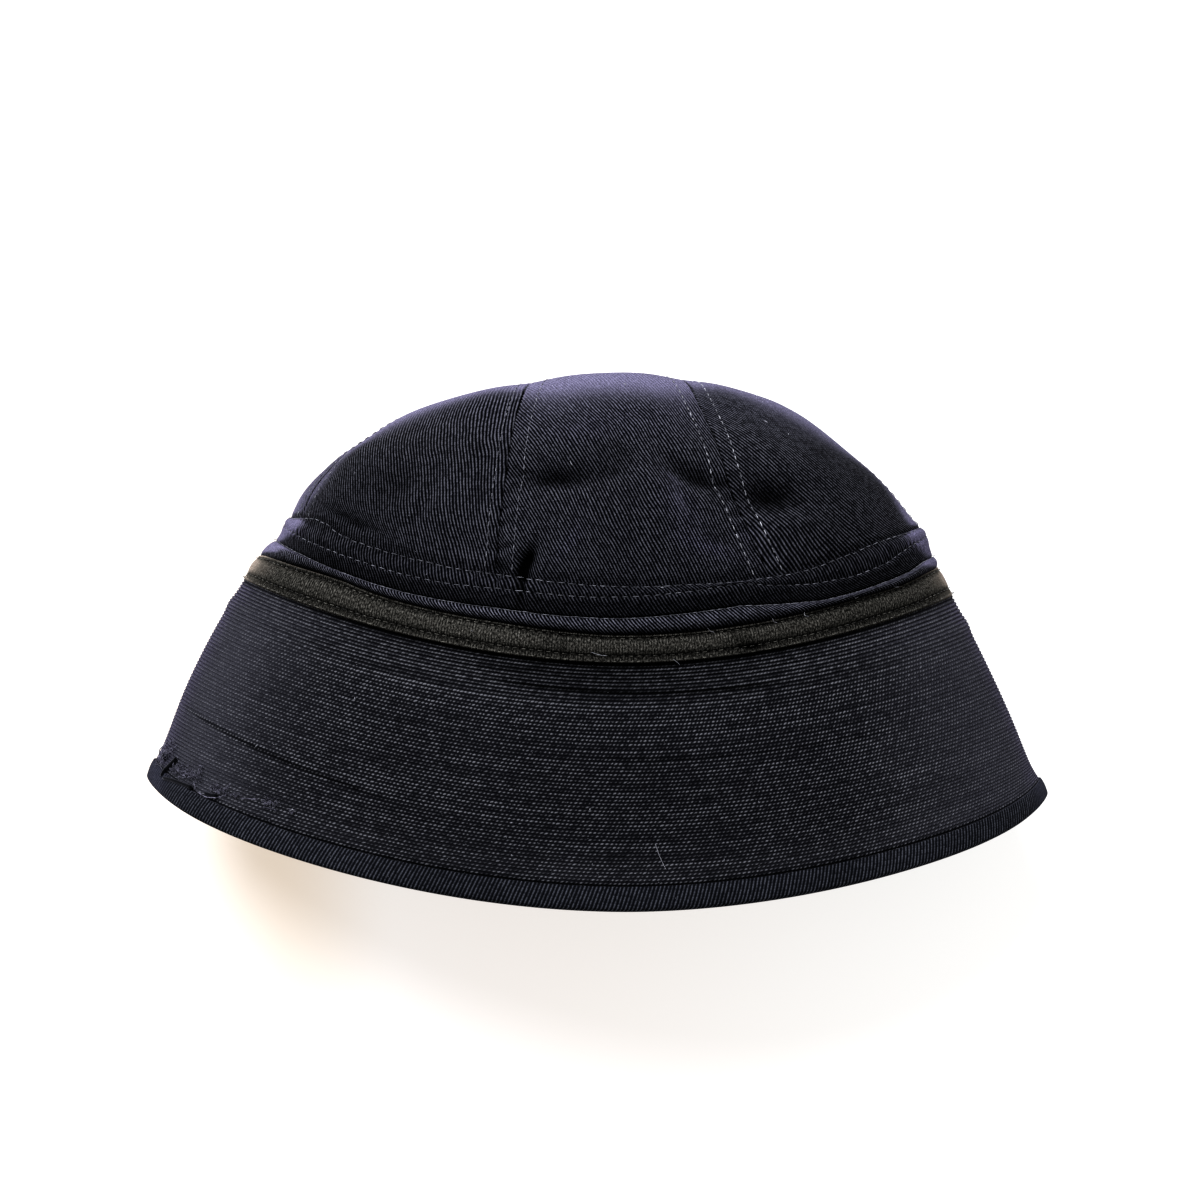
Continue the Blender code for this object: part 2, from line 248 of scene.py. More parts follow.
# Pools, sharp creases and the slits of gathered cloth, finer than the source's solids show.
CREASES = (
    Dent(-17.8, 41.4, 9.0, 5.4, 6.0, 1.5),       # dark pool beside the left seam
    Dent(-27.6, 43.4, 4.4, 1.7, -4.0, 1.6),
    Dent(-4.5, 47.4, 11.0, 6.2, 24.0, 1.5),      # its limb, up to the right
    Dent(6.5, 53.2, 8.0, 6.4, 24.0, 1.4),
    Dent(22.8, 48.6, 8.5, 4.4, -44.0, 1.4),      # fold down to the right seam
    Dent(34.8, 41.8, 8.5, 4.2, -12.0, 1.6),
    Dent(41.6, 40.0, 3.2, 1.5, 0.0, 1.0),
    Dent(60.5, 38.0, 15.0, 8.6, -20.0, 1.8),     # hollow beyond it
    Dent(48.6, 46.0, 8.0, 6.0, -52.0, 1.0),
    Dent(19.0, 33.0, 15.0, 3.4, -76.0, -2.0),    # crest and side of the raised facet
    Dent(30.5, 28.5, 13.0, 4.6, -66.0, 1.7),
    Dent(68.0, 26.0, 12.0, 3.6, -22.0, -1.1),
    Dent(-23.4, 13.8, 5.0, 1.9, 60.0, 2.0),      # black fold above the band
    Dent(-24.6, 5.5, 7.0, 1.6, 96.0, 1.7),
    Dent(-33.0, 7.0, 3.0, 1.6, 80.0, 0.9),
    Dent(-40.5, 9.0, 3.0, 1.8, 80.0, 0.8),
    Dent(-28.6, 37.6, 3.4, 1.1, 16.0, 1.3),      # slits of the left seam's gathers
    Dent(-30.8, 30.2, 3.4, 1.1, 20.0, 1.3),
    Dent(-31.9, 24.8, 3.4, 1.1, 16.0, 1.2),
    Dent(-32.6, 16.6, 3.6, 1.2, 18.0, 1.3),
    Dent(43.8, 34.4, 3.2, 1.1, 20.0, 0.9),       # and of the right one's
    Dent(46.2, 28.4, 3.4, 1.1, 16.0, 1.0),
    Dent(49.0, 23.4, 3.4, 1.1, 12.0, 1.0),
    Dent(-85.0, 27.0, 13.0, 1.3, -25.0, 0.9),    # side panels
    Dent(88.0, 20.0, 8.0, 1.4, -35.0, 0.6),
    Dent(-60.0, 30.0, 10.0, 2.2, 60.0, 0.6),
    Dent(-38.0, 46.0, 9.0, 2.4, 80.0, 0.6),
)


# Patches of crown, band and tape that are lighter, as rubbed cloth and painted highlights, or,
# below 0, darker as painted shade: their last value is this change instead of depth.
WEAR_AND_PAINTED_LIGHT_PATCHES = (
    Dent(26.5, 31.5, 12.0, 4.8, -64.0, 0.95),    # painted nap highlight of the raised facet and of its foot
    Dent(37.5, 16.8, 12.0, 2.4, -18.0, 0.8),
    # painted shade on the crown's far left
    Dent(-80.0, 34.0, 26.0, 12.0, 30.0, -0.25),
    Dent(48.0, 21.0, 7.0, 3.0, -35.0, 0.35),
    Dent(47.5, -14.0, 8.0, 2.2, -24.0, -0.55),   # painted shade in the fold of the tape's lap
    Dent(41.0, -11.6, 4.0, 1.6, -24.0, 0.25),
    Dent(-12.0, -13.5, 1.2, 5.0, 0.0, -0.4),     # painted shade in the pleats of the tape
    Dent(-17.0, -13.0, 1.2, 5.0, 0.0, -0.3),
    Dent(-8.0, 57.0, 18.0, 5.0, 0.0, 0.35),      # top of the crown
    Dent(-104.5, 31.5, 16.0, 4.0, 47.0, 0.5),    # left and right fold of the hem
    Dent(107.0, 27.5, 9.0, 2.6, -55.0, 0.5),
    Dent(-24.0, 12.2, 4.5, 2.0, 62.0, -0.6),     # painted shade of the black fold above the band, and across it
    Dent(-33.0, 12.2, 3.5, 2.5, 0.0, -0.6),
    Dent(-26.0, 5.0, 4.5, 1.3, 85.0, -0.9),
    # painted nap highlight of a facet
    Dent(-9.5, 19.0, 7.0, 2.2, 50.0, 0.5),
)


@dataclass(frozen=True)
class RingFold:
    """A fold that goes round the whole cap: its rise, half-width in rise, and height."""

    rise: float
    half_width: float
    height: float


SIDE_FOLDS = (0.255, 0.745)    # turns of the cap's right and left edge
RING_FOLDS = (RingFold(0.88, 0.035, 0.5), RingFold(1.335, 0.02, -0.4))


@dataclass(frozen=True)
class HemShift:
    """How far the hem's lines leave their even rises at one turn."""

    turn: float
    tape_top: float = 0.0
    roll_top: float = 0.0
    low_row: float = 0.0
    high_row: float = 0.0

    def values(self) -> tuple[float, ...]:
        """The shifts in the order of HEM_LINES, which the first and last line don't have."""
        return 0.0, self.tape_top, self.roll_top, self.low_row, self.high_row, 0.0


# Rises of the tape's lower edge, its upper edge, the roll's top, the band's two rows of stitches,
# and a line of the crown that stays put.
HEM_LINES = (1.0, 1.12, 1.20, 1.297, 1.335, 1.45)
HEM_SHIFTS = (
    HemShift(-0.270),
    HemShift(-0.247, 0.015, 0.0, -0.020, 0.0),
    HemShift(-0.210, 0.022, -0.010, -0.036, 0.045),
    HemShift(-0.196, 0.026, -0.014, -0.036, 0.040),
    HemShift(-0.180, 0.030, -0.018, -0.038, 0.015),
    HemShift(-0.165, 0.030, -0.020, -0.038, 0.008),
    HemShift(-0.142, 0.018, -0.023, -0.038, 0.006),
    HemShift(-0.122, 0.014, -0.022, -0.036, 0.008),
    HemShift(-0.096, 0.013, -0.014, -0.025, 0.008),
    HemShift(-0.060, 0.014, 0.0, 0.0, 0.016),
    HemShift(0.0, 0.0, 0.0, 0.010, 0.012),
    HemShift(0.056, 0.0, 0.018, 0.019, 0.008),
    HemShift(0.086, 0.0, 0.022, 0.026, -0.005),
    HemShift(0.117, 0.0, -0.015, -0.015, -0.012),
    HemShift(0.139, 0.0, -0.042, -0.045, -0.010),
    HemShift(0.165, 0.0, -0.048, -0.060, 0.005),
    HemShift(0.196, -0.010, -0.044, -0.051, 0.022),
    HemShift(0.212, -0.005, -0.039, -0.029, 0.020),
    HemShift(0.230, 0.0, -0.015, -0.015, 0.010),
    HemShift(0.300),
)


def centred(turns: Array) -> Array:
    """Turns brought between -0.5 and 0.5, with the middle of the front at 0."""
    return np.mod(turns + 0.5, 1.0) - 0.5


def ramp(value: Array | float, low: float, high: float) -> Array:
    """0 below low, 1 above high, and smooth between them."""
    t = np.clip((value - low) / (high - low), 0.0, 1.0)
    return t * t * (3 - 2 * t)


def smooth_field(rows: Sequence[Section | SeamDrift], name: str, rise: float) -> float:
    """A named size at this rise, on a smooth curve through the table's rows.

    Args:
        rows: the table, in the order of its rises.
        name: the size's field.
        rise: where it is wanted.

    Returns:
        The size there.
    """
    knots = np.array([row.rise for row in rows])
    values = np.array([getattr(row, name) for row in rows])
    steps = np.diff(knots)
    slopes = np.diff(values) / steps
    inner = (slopes[:-1] * steps[1:] + slopes[1:] * steps[:-1]) / (steps[1:] + steps[:-1])
    tangents = np.concatenate((slopes[:1], inner, slopes[-1:]))
    i = int(np.clip(np.searchsorted(knots, rise, side="right") - 1, 0, len(steps) - 1))
    t = (rise - knots[i]) / steps[i]
    return float(
        (2 * t**3 - 3 * t**2 + 1) * values[i]
        + (t**3 - 2 * t**2 + t) * steps[i] * tangents[i]
        + (3 * t**2 - 2 * t**3) * values[i + 1]
        + (t**3 - t**2) * steps[i] * tangents[i + 1]
    )


@dataclass
class CapSurface:
    """The cap's outer cloth surface, worked out once on a fine grid of rises and turns."""

    centre_x: float = -0.95
    centre_y: float = -11.13
    panel_count: int = 6
    front_seam_turn: float = -0.066
    front_vertex_x: float = 9.0
    arc_power: float = 1.88
    corner_lift: float = 5.5
    corner_lift_rise: float = 0.16
    sink: float = 3.0
    front_roundness: float = 1.24
    back_roundness: float = 0.80
    seam_pull: float = 0.9
    seam_pull_width: float = 9.0
    seam_groove: float = 0.22
    seam_groove_width: float = 0.5
    pull_starts: tuple[float, float] = (1.3, 1.42)
    pull_ends: tuple[float, float] = (1.95, 2.15)
    groove_starts: tuple[float, float] = (1.33, 1.36)
    rigid_below: tuple[float, float] = (5.0, 20.0)
    dented_above: tuple[float, float] = (36.0, 60.0)
    patches_above: tuple[float, float] = (20.0, 34.0)
    fine: int = 1440
    rise_step: float = 0.004
    first_rise: float = -0.02
    last_rise: float = 2.2395
    rises: Array = field(init=False)
    lengths: Array = field(init=False)
    points: Array = field(init=False)
    normals: Array = field(init=False)
    walked: Array = field(init=False)
    hollows: Array = field(init=False)

    def __post_init__(self) -> None:
        """Fills the grid: base sections first, then folds and dents along their normals."""
        count = round((self.last_rise - self.first_rise) / self.rise_step) + 1
        self.rises = np.linspace(self.first_rise, self.last_rise, count)
        turns = np.linspace(0.0, 1.0, self.fine + 1)
        rings, lengths = [], []
        for rise in self.rises:
            ring = self.section_ring(float(rise))
            walked = self.ring_length(ring)
            rings.append(np.stack([np.interp(turns * walked[-1], walked, ring[:, k])
                                   for k in range(3)], axis=1))
            lengths.append(walked[-1])
        base = np.array(rings)
        self.lengths = np.array(lengths)
        self.hollows = self.hollow_depths(base)
        bump = self.bump_heights(base, turns) - self.hollows
        self.points = base + self.grid_normals(base) * bump[..., None]
        self.points[..., 2] = np.maximum(self.points[..., 2], 0.0)
        self.normals = self.grid_normals(self.points)
        steps = np.linalg.norm(np.diff(self.points, axis=0), axis=2)
        start = np.zeros((1, steps.shape[1]))
        self.walked = np.concatenate((start, np.cumsum(steps, axis=0)))
        self.points -= (self.centre_x, self.centre_y, 0.0)

    @staticmethod
    def ring_length(points: Array) -> Array:
        """Distance walked along a ring of points, starting at 0."""
        steps = np.linalg.norm(np.diff(points, axis=0), axis=1)
        return np.concatenate(([0.0], np.cumsum(steps)))

    @staticmethod
    def grid_normals(grid: Array) -> Array:
        """Outward normals of a grid whose rows are closed rings."""
        ahead = np.roll(grid[:, :-1], -1, axis=1) - np.roll(grid[:, :-1], 1, axis=1)
        ahead = np.concatenate((ahead, ahead[:, :1]), axis=1)
        normal = np.cross(ahead, np.gradient(grid, axis=0))
        return normal / np.maximum(np.linalg.norm(normal, axis=2, keepdims=True), 1e-9)

    def section_ring(self, rise: float) -> Array:
        """Points once round the cap at this rise.

        Args:
            rise: the section's rise.

        Returns:
            Points in the tables' plan, from the middle of the front towards the right.
        """
        size = {name: smooth_field(SECTIONS, name, rise)
                for name in Section.__dataclass_fields__ if name != "rise"}
        width = size["right_x"] - size["left_x"]
        angle = np.linspace(0.0, 2 * math.pi, self.fine + 1)
        across = np.abs(np.sin(angle))
        front = np.cos(angle) >= 0
        right = np.sin(angle) >= 0
        front_power = self.front_roundness + (1.0 - self.front_roundness) * ramp(rise, 1.4, 2.0)
        back_power = self.back_roundness + (1.0 - self.back_roundness) * ramp(rise, 1.9, 2.2)
        arch = np.abs(np.cos(angle)) ** np.where(front, front_power, back_power)

        fold_x = np.where(right, size["right_x"], size["left_x"])
        x = fold_x * across + size["front_x"] * (1 - across**2)
        vertex = self.front_vertex_x * min(1.0, width / 100)
        beyond = x >= vertex
        reach = (x - vertex) / (np.where(beyond, size["right_x"], size["left_x"]) - vertex)
        fold_y = np.where(beyond, size["right_y"], size["left_y"])
        middle_y = np.where(front, size["front_y"], size["back_y"])
        corner = self.corner_lift * math.exp(-((rise / self.corner_lift_rise) ** 2))
        y = middle_y + (fold_y - middle_y) * reach**self.arc_power + corner * across**14
        top = np.where(front, size["front_z"], -self.sink * min(1.0, width / 120))
        z = np.maximum(size["side_z"] + (top - size["side_z"]) * arch, 0.0) + size["stand"]
        return np.stack((x, y, z), axis=1)

    def seam_turn(self, number: int, rise: float, length: float) -> float:
        """Turn of a panel seam.

        Args:
            number: 0 is the front's left seam, 1 its right one, and so on round the cap.
            rise: where on the seam.
            length: length of the section there.

        Returns:
            The seam's turn.
        """
        drift = 0.0
        if number % self.panel_count == 0:
            drift = smooth_field(SEAM_DRIFTS, "left", rise)
        elif number % self.panel_count == 1:
            drift = smooth_field(SEAM_DRIFTS, "right", rise)
        scale = min(1.0, length / 400)
        return self.front_seam_turn + number / self.panel_count + drift * scale / length

    def bump_heights(self, base: Array, turns: Array) -> Array:
        """Height of the ring folds and the seams over the base grid.

        Args:
            base: points of the smooth surface, by ring and column.
            turns: turns of the columns.

        Returns:
            The height of each point.
        """
        bump = np.zeros(base.shape[:2])
        lifted = ramp(base[..., 2], *self.rigid_below)
        for i, rise in enumerate(self.rises):
            rise = float(rise)
            length = self.lengths[i]
            rings = sum(fold.height * math.exp(-(((rise - fold.rise) / fold.half_width) ** 2))
                        for fold in RING_FOLDS)
            fade = ramp(rise, *self.pull_starts) * (1 - ramp(rise, *self.pull_ends))
            crown = ramp(rise, *self.groove_starts)
            dip = np.zeros(len(turns))
            for number in range(self.panel_count):
                away = centred(turns - self.seam_turn(number, rise, length)) * length
                dip += self.seam_pull * fade * np.exp(-((away / self.seam_pull_width) ** 2))
                dip += self.seam_groove * crown * np.exp(-((away / self.seam_groove_width) ** 2))
            bump[i] = (rings - dip) * lifted[i]
        return bump

    def hollow_depths(self, base: Array) -> Array:
        """Depth of all dents and creases over the base grid."""
        depths = sum(dent.depth_at(base[..., 0], base[..., 1]) for dent in (*DENTS, *CREASES))
        return depths * ramp(base[..., 2], *self.dented_above)

    def place(self, turns: Array, rises: Array, out: Array | float = 0.0) -> Array:
        """Points of the cloth, out along its normals.

        Args:
            turns: turns of the points, of any size and sign.
            rises: their rises.
            out: distance out of the surface.

        Returns:
            Points in millimetres, with one more axis than turns.
        """
        point = self.sample(self.points, turns, self.shifted(turns, rises))
        normal = self.normal(turns, rises)
        placed = point + normal * np.asarray(out)[..., None]
        placed[..., 2] = np.maximum(placed[..., 2], 0.0)
        return placed

    def normal(self, turns: Array, rises: Array) -> Array:
        """Unit normals of the cloth at these places."""
        normal = self.sample(self.normals, turns, self.shifted(turns, rises))
        return normal / np.linalg.norm(normal, axis=-1, keepdims=True)

    @staticmethod
    def shifted(turns: Array, rises: Array) -> Array:
        """Rises moved with the hem's lines, which don't run quite even round the cap."""
        knots = [row.turn for row in HEM_SHIFTS]
        shifts = np.array([row.values() for row in HEM_SHIFTS])
        around = np.mod(np.asarray(turns) + 0.5, 1.0) - 0.5
        moved = np.asarray(rises) + 0.0 * around
        for k in range(1, len(HEM_LINES) - 1):
            share = np.interp(rises, HEM_LINES[k - 1:k + 2], (0.0, 1.0, 0.0))
            moved = moved + share * np.interp(around, knots, shifts[:, k])
        return moved

    def sample(self, grid: Array, turns: Array, rises: Array) -> Array:
        """Reads a grid between its points."""
        turns, rises = np.broadcast_arrays(turns, rises)
        column = np.mod(turns, 1.0) * self.fine
        row = (rises - self.first_rise) / (self.rises[1] - self.rises[0])
        j = np.clip(column.astype(int), 0, self.fine - 1)
        i = np.clip(row.astype(int), 0, len(self.rises) - 2)
        s = (column - j)[..., None]
        t = (row - i)[..., None]
        if grid.ndim == 2:
            s, t = s[..., 0], t[..., 0]
        low = grid[i, j] * (1 - s) + grid[i, j + 1] * s
        high = grid[i + 1, j] * (1 - s) + grid[i + 1, j + 1] * s
        return low * (1 - t) + high * t

    def rubbed(self, points: Array) -> Array:
        """Rubbing, painted highlights and painted shade of the patches at points of the cap's
        front.
        """
        east, north = points[..., 0] + self.centre_x, points[..., 1] + self.centre_y
        wear_and_shade = sum(patch.depth_at(east, north) for patch in WEAR_AND_PAINTED_LIGHT_PATCHES)
        return wear_and_shade * ramp(points[..., 2], *self.patches_above)

    def hollow_at(self, turns: Array, rises: Array) -> Array:
        """Depth of the dents and creases at these places."""
        return self.sample(self.hollows, turns, self.shifted(turns, rises))

    def length_at(self, rises: Array | float) -> Array:
        """Length once round the cap at these rises."""
        return np.interp(rises, self.rises, self.lengths)

    def under_pixel(self, view: Viewpoint, x: float, y: float) -> tuple[float, float]:
        """The place on the cap's front that the photograph shows at a pixel.

        Args:
            view: the photograph's viewpoint.
            x: the pixel's x.
            y: the pixel's y.

        Returns:
            Its turn and rise.
        """
        away = np.linalg.norm(view.pixel(self.points) - (x, y), axis=-1)
        away[self.normals[..., 2] < 0.02] = np.inf
        i, j = np.unravel_index(int(np.argmin(away)), away.shape)
        turn, rise = float(j / self.fine), float(self.rises[i])
        return turn, 2 * rise - float(self.shifted(turn, rise))


# ---- meshes ---------------------------------------------------------------------------------


class Wrap(Enum):
    """Whether the rows of a grid close on themselves."""

    RING = "ring"
    OPEN = "open"


@dataclass
class Sheet:
    """A grid of points with the cloth coordinates of each: rows run round the cap."""

    points: Array
    across: Array
    along: Array
    wear_and_shade: Array

    def corners(self, wrap: Wrap) -> tuple[Array, Array]:
        """Quads of the grid and where each of their corners lies in the cloth.

        Args:
            wrap: whether the last column joins the first.

        Returns:
            Indices of the corners, and their cloth coordinates.
        """
        rows, columns = self.points.shape[:2]
        used = columns if wrap is Wrap.RING else columns - 1
        i, j = np.meshgrid(np.arange(rows - 1), np.arange(used), indexing="ij")
        i, j = i.ravel(), j.ravel()
        k = j + 1
        faces = np.stack((i * columns + j, i * columns + k % columns,
                          (i + 1) * columns + k % columns, (i + 1) * columns + j), axis=1)
        across = np.concatenate((self.across, 2 * self.across[:, -1:] - self.across[:, -2:-1]), 1)
        along = np.concatenate((self.along, self.along[:, :1]), axis=1)
        cloth = np.stack((
            np.stack((across[i, j], across[i, k], across[i + 1, k], across[i + 1, j]), axis=1),
            np.stack((along[i, j], along[i, k], along[i + 1, k], along[i + 1, j]), axis=1),
        ), axis=2)
        return faces, cloth

    def edge(self, column: int, count: int) -> Array:
        """Points spread evenly over the rows of one column."""
        at = np.linspace(0, len(self.points) - 1, count)
        return np.stack([np.interp(at, np.arange(len(self.points)), self.points[:, column, k])
                         for k in range(3)], axis=1)


def link_mesh(name: str, points: Array, faces: list,
              material: bpy.types.Material) -> bpy.types.Object:
    """A smooth mesh object in the scene.

    Args:
        name: the object's name.
        points: its points in millimetres.
        faces: corner indices of its faces.
        material: its material.

    Returns:
        The object.
    """
    mesh = bpy.data.meshes.new(name)
    mesh.from_pydata((points * MM).tolist(), [], faces)
    mesh.shade_smooth()
    mesh.materials.append(material)
    made = bpy.data.objects.new(name, mesh)
    bpy.context.scene.collection.objects.link(made)
    return made


def cloth_mesh(name: str, points: Array, faces: Array, cloth: Array, wear_and_shade: Array,
               material: bpy.types.Material) -> bpy.types.Object:
    """A mesh object that carries its cloth coordinates, its rubbing and its painted shade.

    Args:
        name: the object's name.
        points: its points in millimetres.
        faces: corner indices of its faces.
        cloth: cloth coordinates of the faces' corners, in millimetres.
        wear_and_shade: each point's value, from -1 where painted shade darkens it most to 1 where
            it is rubbed.
        material: its material.

    Returns:
        The object.
    """
    made = link_mesh(name, points, faces.tolist(), material)
    layer = made.data.uv_layers.new(name="cloth")
    layer.data.foreach_set("uv", cloth.reshape(-1).astype(np.float32))
    store = made.data.attributes.new("wear_and_shade", "FLOAT", "POINT")
    store.data.foreach_set("value", wear_and_shade.reshape(-1).astype(np.float32))
    made.data.set_sharp_from_angle(angle=SHARP_ANGLE)
    made.data.validate()
    return made


def wall_mesh(name: str, outer: Sheet, inner: Sheet, wrap: Wrap,
              material: bpy.types.Material) -> bpy.types.Object:
    """A closed cloth wall between an outer and an inner grid with the same columns.

    Args:
        name: the object's name.
        outer: the side that faces out.
        inner: the side that faces in.
        wrap: whether the rows close on themselves.
        material: the wall's material.

    Returns:
        The object.
    """
    out_faces, out_cloth = outer.corners(wrap)
    in_faces, in_cloth = inner.corners(wrap)
    columns = outer.points.shape[1]
    first = outer.points.shape[0] * columns
    top_out = first - columns
    top_in = first + (inner.points.shape[0] - 1) * columns
    used = columns if wrap is Wrap.RING else columns - 1
    j = np.arange(used)
    k = (j + 1) % columns
    faces = [out_faces, in_faces[:, ::-1] + first,
             np.stack((first + j, first + k, k, j), axis=1),
             np.stack((top_out + j, top_out + k, top_in + k, top_in + j), axis=1)]
    cloth = [out_cloth, in_cloth[:, ::-1], out_cloth[:used][:, [0, 1, 1, 0]],
             out_cloth[-used:][:, [3, 2, 2, 3]]]
    points = np.concatenate((outer.points.reshape(-1, 3), inner.points.reshape(-1, 3)))
    wear_and_shade = np.concatenate((outer.wear_and_shade.reshape(-1), inner.wear_and_shade.reshape(-1)))
    if wrap is Wrap.OPEN:
        i = np.arange(outer.points.shape[0] - 1)
        for column, corner, order in ((0, (0, 3, 3, 0), 1), (used, (1, 2, 2, 1), -1)):
            edge, rim = i * columns + column, len(points) + i
            quads = np.stack((edge, edge + columns, rim + 1, rim), axis=1)
            faces.append(quads[:, ::order])
            cloth.append(out_cloth[i * used + min(column, used - 1)][:, corner])
            points = np.concatenate((points, inner.edge(column, len(i) + 1)))
            wear_and_shade = np.concatenate((wear_and_shade, outer.wear_and_shade[:, column]))
    return cloth_mesh(name, points, np.concatenate(faces), np.concatenate(cloth), wear_and_shade, material)


STEEP = 0.93        # share of a thread's heading that is upwards, over which its sides turn with Y
THREAD_END = 0.45   # width of a thread's ends as a share of its own


def tube_mesh(name: str, paths: Sequence[Array], radii: Sequence[float], sides: int,
              material: bpy.types.Material, flatten: float = 1.0) -> bpy.types.Object:
    """Round threads along paths, as one mesh.

    Args:
        name: the object's name.
        paths: points of each thread in millimetres.
        radii: radius of each thread.
        sides: sides of a thread's section.
        material: the threads' material.
        flatten: height of a thread's section as a share of its width.

    Returns:
        The object.
    """
    angle = np.linspace(0.0, 2 * math.pi, sides, endpoint=False)
    points, faces, first = [], [], 0
    for path, radius in zip(paths, radii):
        ahead = np.gradient(path, axis=0)
        ahead /= np.maximum(np.linalg.norm(ahead, axis=1, keepdims=True), 1e-9)
        up = np.tile((0.0, 0.0, 1.0), (len(path), 1))
        steep = np.abs(ahead[:, 2]) > STEEP
        up[steep] = (0.0, 1.0, 0.0)
        side = np.cross(up, ahead)
        side /= np.linalg.norm(side, axis=1, keepdims=True)
        up = np.cross(ahead, side)
        taper = np.ones(len(path))
        taper[0] = taper[-1] = THREAD_END
        ring = (side[:, None] * np.cos(angle)[None, :, None]
                + up[:, None] * np.sin(angle)[None, :, None] * flatten)
        points.append((path[:, None] + ring * (radius * taper)[:, None, None]).reshape(-1, 3))
        for i in range(len(path) - 1):
            for j in range(sides):
                k = (j + 1) % sides
                low, high = first + i * sides, first + (i + 1) * sides
                faces.append((low + j, low + k, high + k, high + j))
        last = first + (len(path) - 1) * sides
        faces.append(tuple(range(first + sides - 1, first - 1, -1)))
        faces.append(tuple(range(last, last + sides)))
        first += len(path) * sides
    return link_mesh(name, np.concatenate(points), faces, material)


# ---- shader building ------------------------------------------------------------------------


class Wiring:
    """Short calls that add nodes to one tree and return their main output."""

    def __init__(self, tree: bpy.types.NodeTree) -> None:
        """Keeps the tree that the nodes go into."""
        self.tree = tree

    def node(self, kind: str, inputs: dict | None = None, **settings: object) -> bpy.types.Node:
        """Adds a node.

        Args:
            kind: its type's identifier.
            inputs: a value or an output to join, by the socket's name or number.
            settings: attributes of the node.

        Returns:
            The node.
        """
        made = self.tree.nodes.new(kind)
        for name, value in settings.items():
            setattr(made, name, value)
        for key, value in (inputs or {}).items():
            self.join(value, made.inputs[key])
        return made

    def join(self, value: object, socket: bpy.types.NodeSocket) -> None:
        """Links an output to a socket, or sets the socket's own value."""
        if isinstance(value, bpy.types.NodeSocket):
            self.tree.links.new(value, socket)
        else:
            socket.default_value = value

    def math(self, operation: str, *values: object, clamp: bool = False) -> bpy.types.NodeSocket:
        """A Math node's result."""
        made = self.node("ShaderNodeMath", dict(enumerate(values)), operation=operation)
        made.use_clamp = clamp
        return made.outputs[0]

    def times(self, first: object, second: object, clamp: bool = False) -> bpy.types.NodeSocket:
        """The product of two values."""
        return self.math("MULTIPLY", first, second, clamp=clamp)

    def plus(self, first: object, second: object) -> bpy.types.NodeSocket:
        """The sum of two values."""
        return self.math("ADD", first, second)

    def less(self, first: object, second: object) -> bpy.types.NodeSocket:
        """The first value less the second."""
        return self.math("SUBTRACT", first, second)

    def over(self, first: object, second: object) -> bpy.types.NodeSocket:
        """The first value divided by the second."""
        return self.math("DIVIDE", first, second)

    def line(self, value: object, gain: object, start: object,
             clamp: bool = False) -> bpy.types.NodeSocket:
        """A value times a gain, from a start."""
        return self.math("MULTIPLY_ADD", value, gain, start, clamp=clamp)

    def wave(self, phase: object) -> bpy.types.NodeSocket:
        """A wave from 0 to 1 that is highest at whole phases."""
        return self.line(self.math("COSINE", self.times(phase, 2 * math.pi)), 0.5, 0.5)

    def remap(self, value: object, low: object, high: object, to_low: object = 0.0,
              to_high: object = 1.0) -> bpy.types.NodeSocket:
        """A value smoothly mapped from one range to another."""
        made = self.node("ShaderNodeMapRange", {0: value, 1: low, 2: high, 3: to_low, 4: to_high},
                         interpolation_type="SMOOTHSTEP")
        return made.outputs[0]

    def mix(self, share: object, first: object, second: object,
            blend: str = "MIX") -> bpy.types.NodeSocket:
        """A mix of two colours."""
        made = self.node("ShaderNodeMix", {0: share, 6: first, 7: second}, data_type="RGBA",
                         blend_type=blend)
        return made.outputs[2]

    def noise(self, vector: object, scale: float, detail: float = 3.0,
              rough: float = 0.55) -> bpy.types.NodeSocket:
        """Noise from 0 to 1."""
        made = self.node("ShaderNodeTexNoise", {"Vector": vector, "Scale": scale,
                                                "Detail": detail, "Roughness": rough})
        return made.outputs[0]

    def centred_noise(self, vector: object, scale: float) -> bpy.types.NodeSocket:
        """Smooth noise from -0.5 to 0.5."""
        return self.less(self.noise(vector, scale, 2.0), 0.5)

    def cell_noise(self, x: object, y: object) -> bpy.types.NodeSocket:
        """A random value from 0 to 1 for each cell of a grid."""
        return self.node("ShaderNodeTexWhiteNoise", {"Vector": self.combine(x, y)},
                         noise_dimensions="2D").outputs[0]

    def combine(self, x: object, y: object, z: object = 0.0) -> bpy.types.NodeSocket:
        """A vector from three values."""
        return self.node("ShaderNodeCombineXYZ", {0: x, 1: y, 2: z}).outputs[0]

    def cloth(self) -> bpy.types.NodeSocket:
        """The cloth coordinates of a piece, in millimetres."""
        return self.node("ShaderNodeUVMap", uv_map="cloth").outputs[0]

    def place(self) -> bpy.types.NodeSocket:
        """The place on the piece, in metres."""
        return self.node("ShaderNodeTexCoord").outputs["Object"]

    def placed_group(self, group: bpy.types.NodeTree, inputs: dict) -> bpy.types.Node:
        """Places a node group and gives it its inputs."""
        made = self.node("ShaderNodeGroup", node_tree=group)
        for name, value in inputs.items():
            self.join(value, made.inputs[name])
        return made

    def split(self, vector: object) -> tuple[bpy.types.NodeSocket, bpy.types.NodeSocket]:
        """The first two parts of a vector."""
        made = self.node("ShaderNodeSeparateXYZ", {0: vector})
        return made.outputs[0], made.outputs[1]


class SocketKind(Enum):
    """Kinds of socket that a node group has."""

    VALUE = "NodeSocketFloat"
    VECTOR = "NodeSocketVector"
    COLOUR = "NodeSocketColor"


GroupSockets = dict[str, SocketKind]

YARN_FLOAT = 0.9    # length of a yarn's float along a rib
YARN_STEP = 0.37    # how far each rib's floats start after the last one's, in floats
LINT = (0.33, 0.33, 0.36, 1.0)


